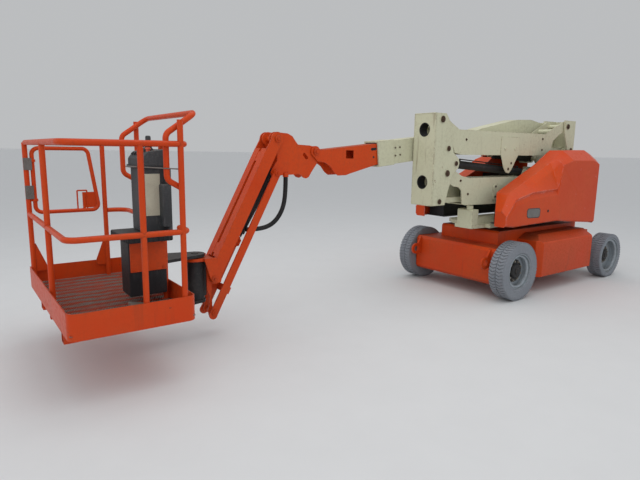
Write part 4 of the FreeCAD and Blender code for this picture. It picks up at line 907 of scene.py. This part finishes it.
class OBJECT_OT_lift_stage(bpy.types.Operator):
    """Set the floor, soft lights, surround and camera"""
    bl_idname = "object.lift_stage"
    bl_label = "Studio"

    def execute(self, context):
        stage = settings("lift_stage")
        bm = bmesh.new()
        bmesh.ops.create_grid(bm, x_segments=1, y_segments=1, size=400.0)
        mesh = bpy.data.meshes.new("studio_floor")
        bm.to_mesh(mesh)
        bm.free()
        floor = bpy.data.objects.new("studio_floor", mesh)
        context.scene.collection.objects.link(floor)
        tree, shader = new_material("studio_floor")
        spots = node(tree, "ShaderNodeTexCoord").outputs["Object"]
        grain = noise(tree, spots, 3.0, 6.0, 0.6)
        darker = [c * 0.94 for c in stage.floor]
        feed(tree, shader.inputs["Base Color"], mix(tree, grain, darker, stage.floor))
        feed(tree, shader.inputs["Roughness"], 0.9)
        mesh.materials.append(bpy.data.materials["studio_floor"])
        middle = (CAD_LOW + CAD_HIGH) / 2
        for name, where, size, power in (
                ("overhead_softbox", (middle.x + 0.6, middle.y + 0.8, 6.2), 6.5, stage.key_power),
                ("camera_side_softbox", (5.6, 5.6, 3.4), 3.5, stage.fill_power),
                ("front_softbox", (7.2, -1.0, 2.6), 3.0, stage.fill_power * 0.5)):
            lamp = bpy.data.lights.new(name, "AREA")
            lamp.energy = power
            lamp.size = size
            obj = bpy.data.objects.new(name, lamp)
            obj.location = where
            aim = Vector((middle.x, middle.y, 0.8)) - Vector(where)
            obj.rotation_euler = aim.to_track_quat("-Z", "Y").to_euler()
            context.scene.collection.objects.link(obj)
        world = bpy.data.worlds.new("surround")
        world.use_nodes = True
        tree = world.node_tree
        tree.nodes.clear()
        rays = node(tree, "ShaderNodeLightPath").outputs
        seen = plus(tree, rays["Is Camera Ray"], rays["Is Transmission Ray"])
        seen = plus(tree, seen, rays["Is Glossy Ray"])
        light, backdrop = (
            node(tree, "ShaderNodeBackground", {"Color": colour, "Strength": power}).outputs[0]
            for colour, power in ((SKY_COLOUR, stage.sky), (BACKDROP_COLOUR, 1.0)))
        blend = node(tree, "ShaderNodeMixShader", {0: seen, 1: light, 2: backdrop})
        node(tree, "ShaderNodeOutputWorld", {"Surface": blend.outputs[0]})
        context.scene.world = world
        camera = bpy.data.objects.new("camera", bpy.data.cameras.new("camera"))
        camera.data.lens = 28.956
        camera.data.sensor_width = 36.0
        camera.data.clip_end = 300.0
        up = CAMERA_RIGHT.cross(CAMERA_AHEAD)
        turn = Matrix((CAMERA_RIGHT, up, -CAMERA_AHEAD)).transposed().to_4x4()
        camera.matrix_world = Matrix.Translation(CAMERA_AT) @ turn
        context.scene.collection.objects.link(camera)
        context.scene.camera = camera
        context.scene.view_settings.view_transform = "Standard"
        return {"FINISHED"}


class OBJECT_OT_lift_hoses(bpy.types.Operator):
    """Hang the sleeved hose loop between the gooseneck and the jib"""
    bl_idname = "object.lift_hoses"
    bl_label = "Hoses"

    def execute(self, context):
        points = [(x, HOSE_Y, z) for x, z in HOSE_LINE]
        loop = hose_mesh("jib_hose_loop", points, HOSE_RADIUS, "black_rubber")
        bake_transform(loop)
        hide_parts("hose_loop")
        return {"FINISHED"}


class OBJECT_OT_lift_floor(bpy.types.Operator):
    """Lay the expanded metal floor in the platform"""
    bl_idname = "object.lift_floor"
    bl_label = "Platform floor"

    def execute(self, context):
        sizes = settings("lift_platform")
        # Painted shadow: a dark sheet just under the open floor mesh stands for the shade seen
        # through its openings; it takes the rusty_bolt finish.
        make("floor_shadow_sheet", "rusty_bolt", "platform", block(*FLOOR_AREA, 460.0, 461.0, 0.3))
        x0, x1, y0, y1 = FLOOR_AREA
        low, high = place(x0, y0, FLOOR_TOP), place(x1, y1, FLOOR_TOP)
        middle = (low + high) / 2
        bm = bmesh.new()
        bmesh.ops.create_grid(bm, x_segments=FLOOR_CELLS, y_segments=FLOOR_CELLS,
                              size=FLOOR_CELLS * math.sqrt(0.5) / 2)
        bmesh.ops.rotate(bm, verts=bm.verts, cent=(0, 0, 0),
                         matrix=Matrix.Rotation(math.radians(45.0), 3, "Z"))
        bmesh.ops.scale(bm, verts=bm.verts, vec=(sizes.mesh_short, sizes.mesh_long, 1.0))
        bmesh.ops.translate(bm, verts=bm.verts, vec=middle)
        for spot, normal in ((low, (-1, 0, 0)), (high, (1, 0, 0)), (low, (0, -1, 0)),
                             (high, (0, 1, 0))):
            geom = bm.verts[:] + bm.edges[:] + bm.faces[:]
            bmesh.ops.bisect_plane(bm, geom=geom, plane_co=spot, plane_no=normal,
                                   clear_outer=True)
        floor = finish_mesh(bm, "floor_mesh", "floor_mesh", "platform")
        wires = floor.modifiers.new("strands", "WIREFRAME")
        wires.thickness = sizes.strand
        wires.use_even_offset = False
        return {"FINISHED"}


STEPS = (OBJECT_OT_lift_finishes, OBJECT_OT_lift_plates, OBJECT_OT_lift_tyres,
         OBJECT_OT_lift_hubs, OBJECT_OT_lift_pins, OBJECT_OT_lift_tower_fittings,
         OBJECT_OT_lift_cylinders, OBJECT_OT_lift_hood_fittings,
         OBJECT_OT_lift_console_fittings, OBJECT_OT_lift_platform_fittings,
         OBJECT_OT_lift_floor, OBJECT_OT_lift_hoses, OBJECT_OT_lift_stage)
GROUPS = (("lift_finish", FinishSettings), ("lift_wheel", WheelSettings),
          ("lift_platform", PlatformSettings), ("lift_stage", StageSettings))


class VIEW3D_PT_boom_lift(bpy.types.Panel):
    """Sizes, colours and building steps of the boom lift"""
    bl_idname = "VIEW3D_PT_boom_lift"
    bl_label = "Boom lift"
    bl_space_type = "VIEW_3D"
    bl_region_type = "UI"
    bl_category = "Boom lift"

    def draw(self, context):
        for name, group in GROUPS:
            values = settings(name)
            box = self.layout.box()
            for key in group.__annotations__:
                box.prop(values, key)
        for step in STEPS:
            self.layout.operator(step.bl_idname)


CLASSES = tuple(group for name, group in GROUPS) + STEPS + (VIEW3D_PT_boom_lift,)


def register():
    for cls in CLASSES:
        bpy.utils.register_class(cls)
    for name, group in GROUPS:
        setattr(bpy.types.Scene, name, bpy.props.PointerProperty(type=group))


def unregister():
    for name, group in GROUPS:
        delattr(bpy.types.Scene, name)
    for cls in reversed(CLASSES):
        bpy.utils.unregister_class(cls)


def main():
    register()
    for step in STEPS:
        space, name = step.bl_idname.split(".")
        getattr(getattr(bpy.ops, space), name)()


if __name__ == "__main__":
    main()
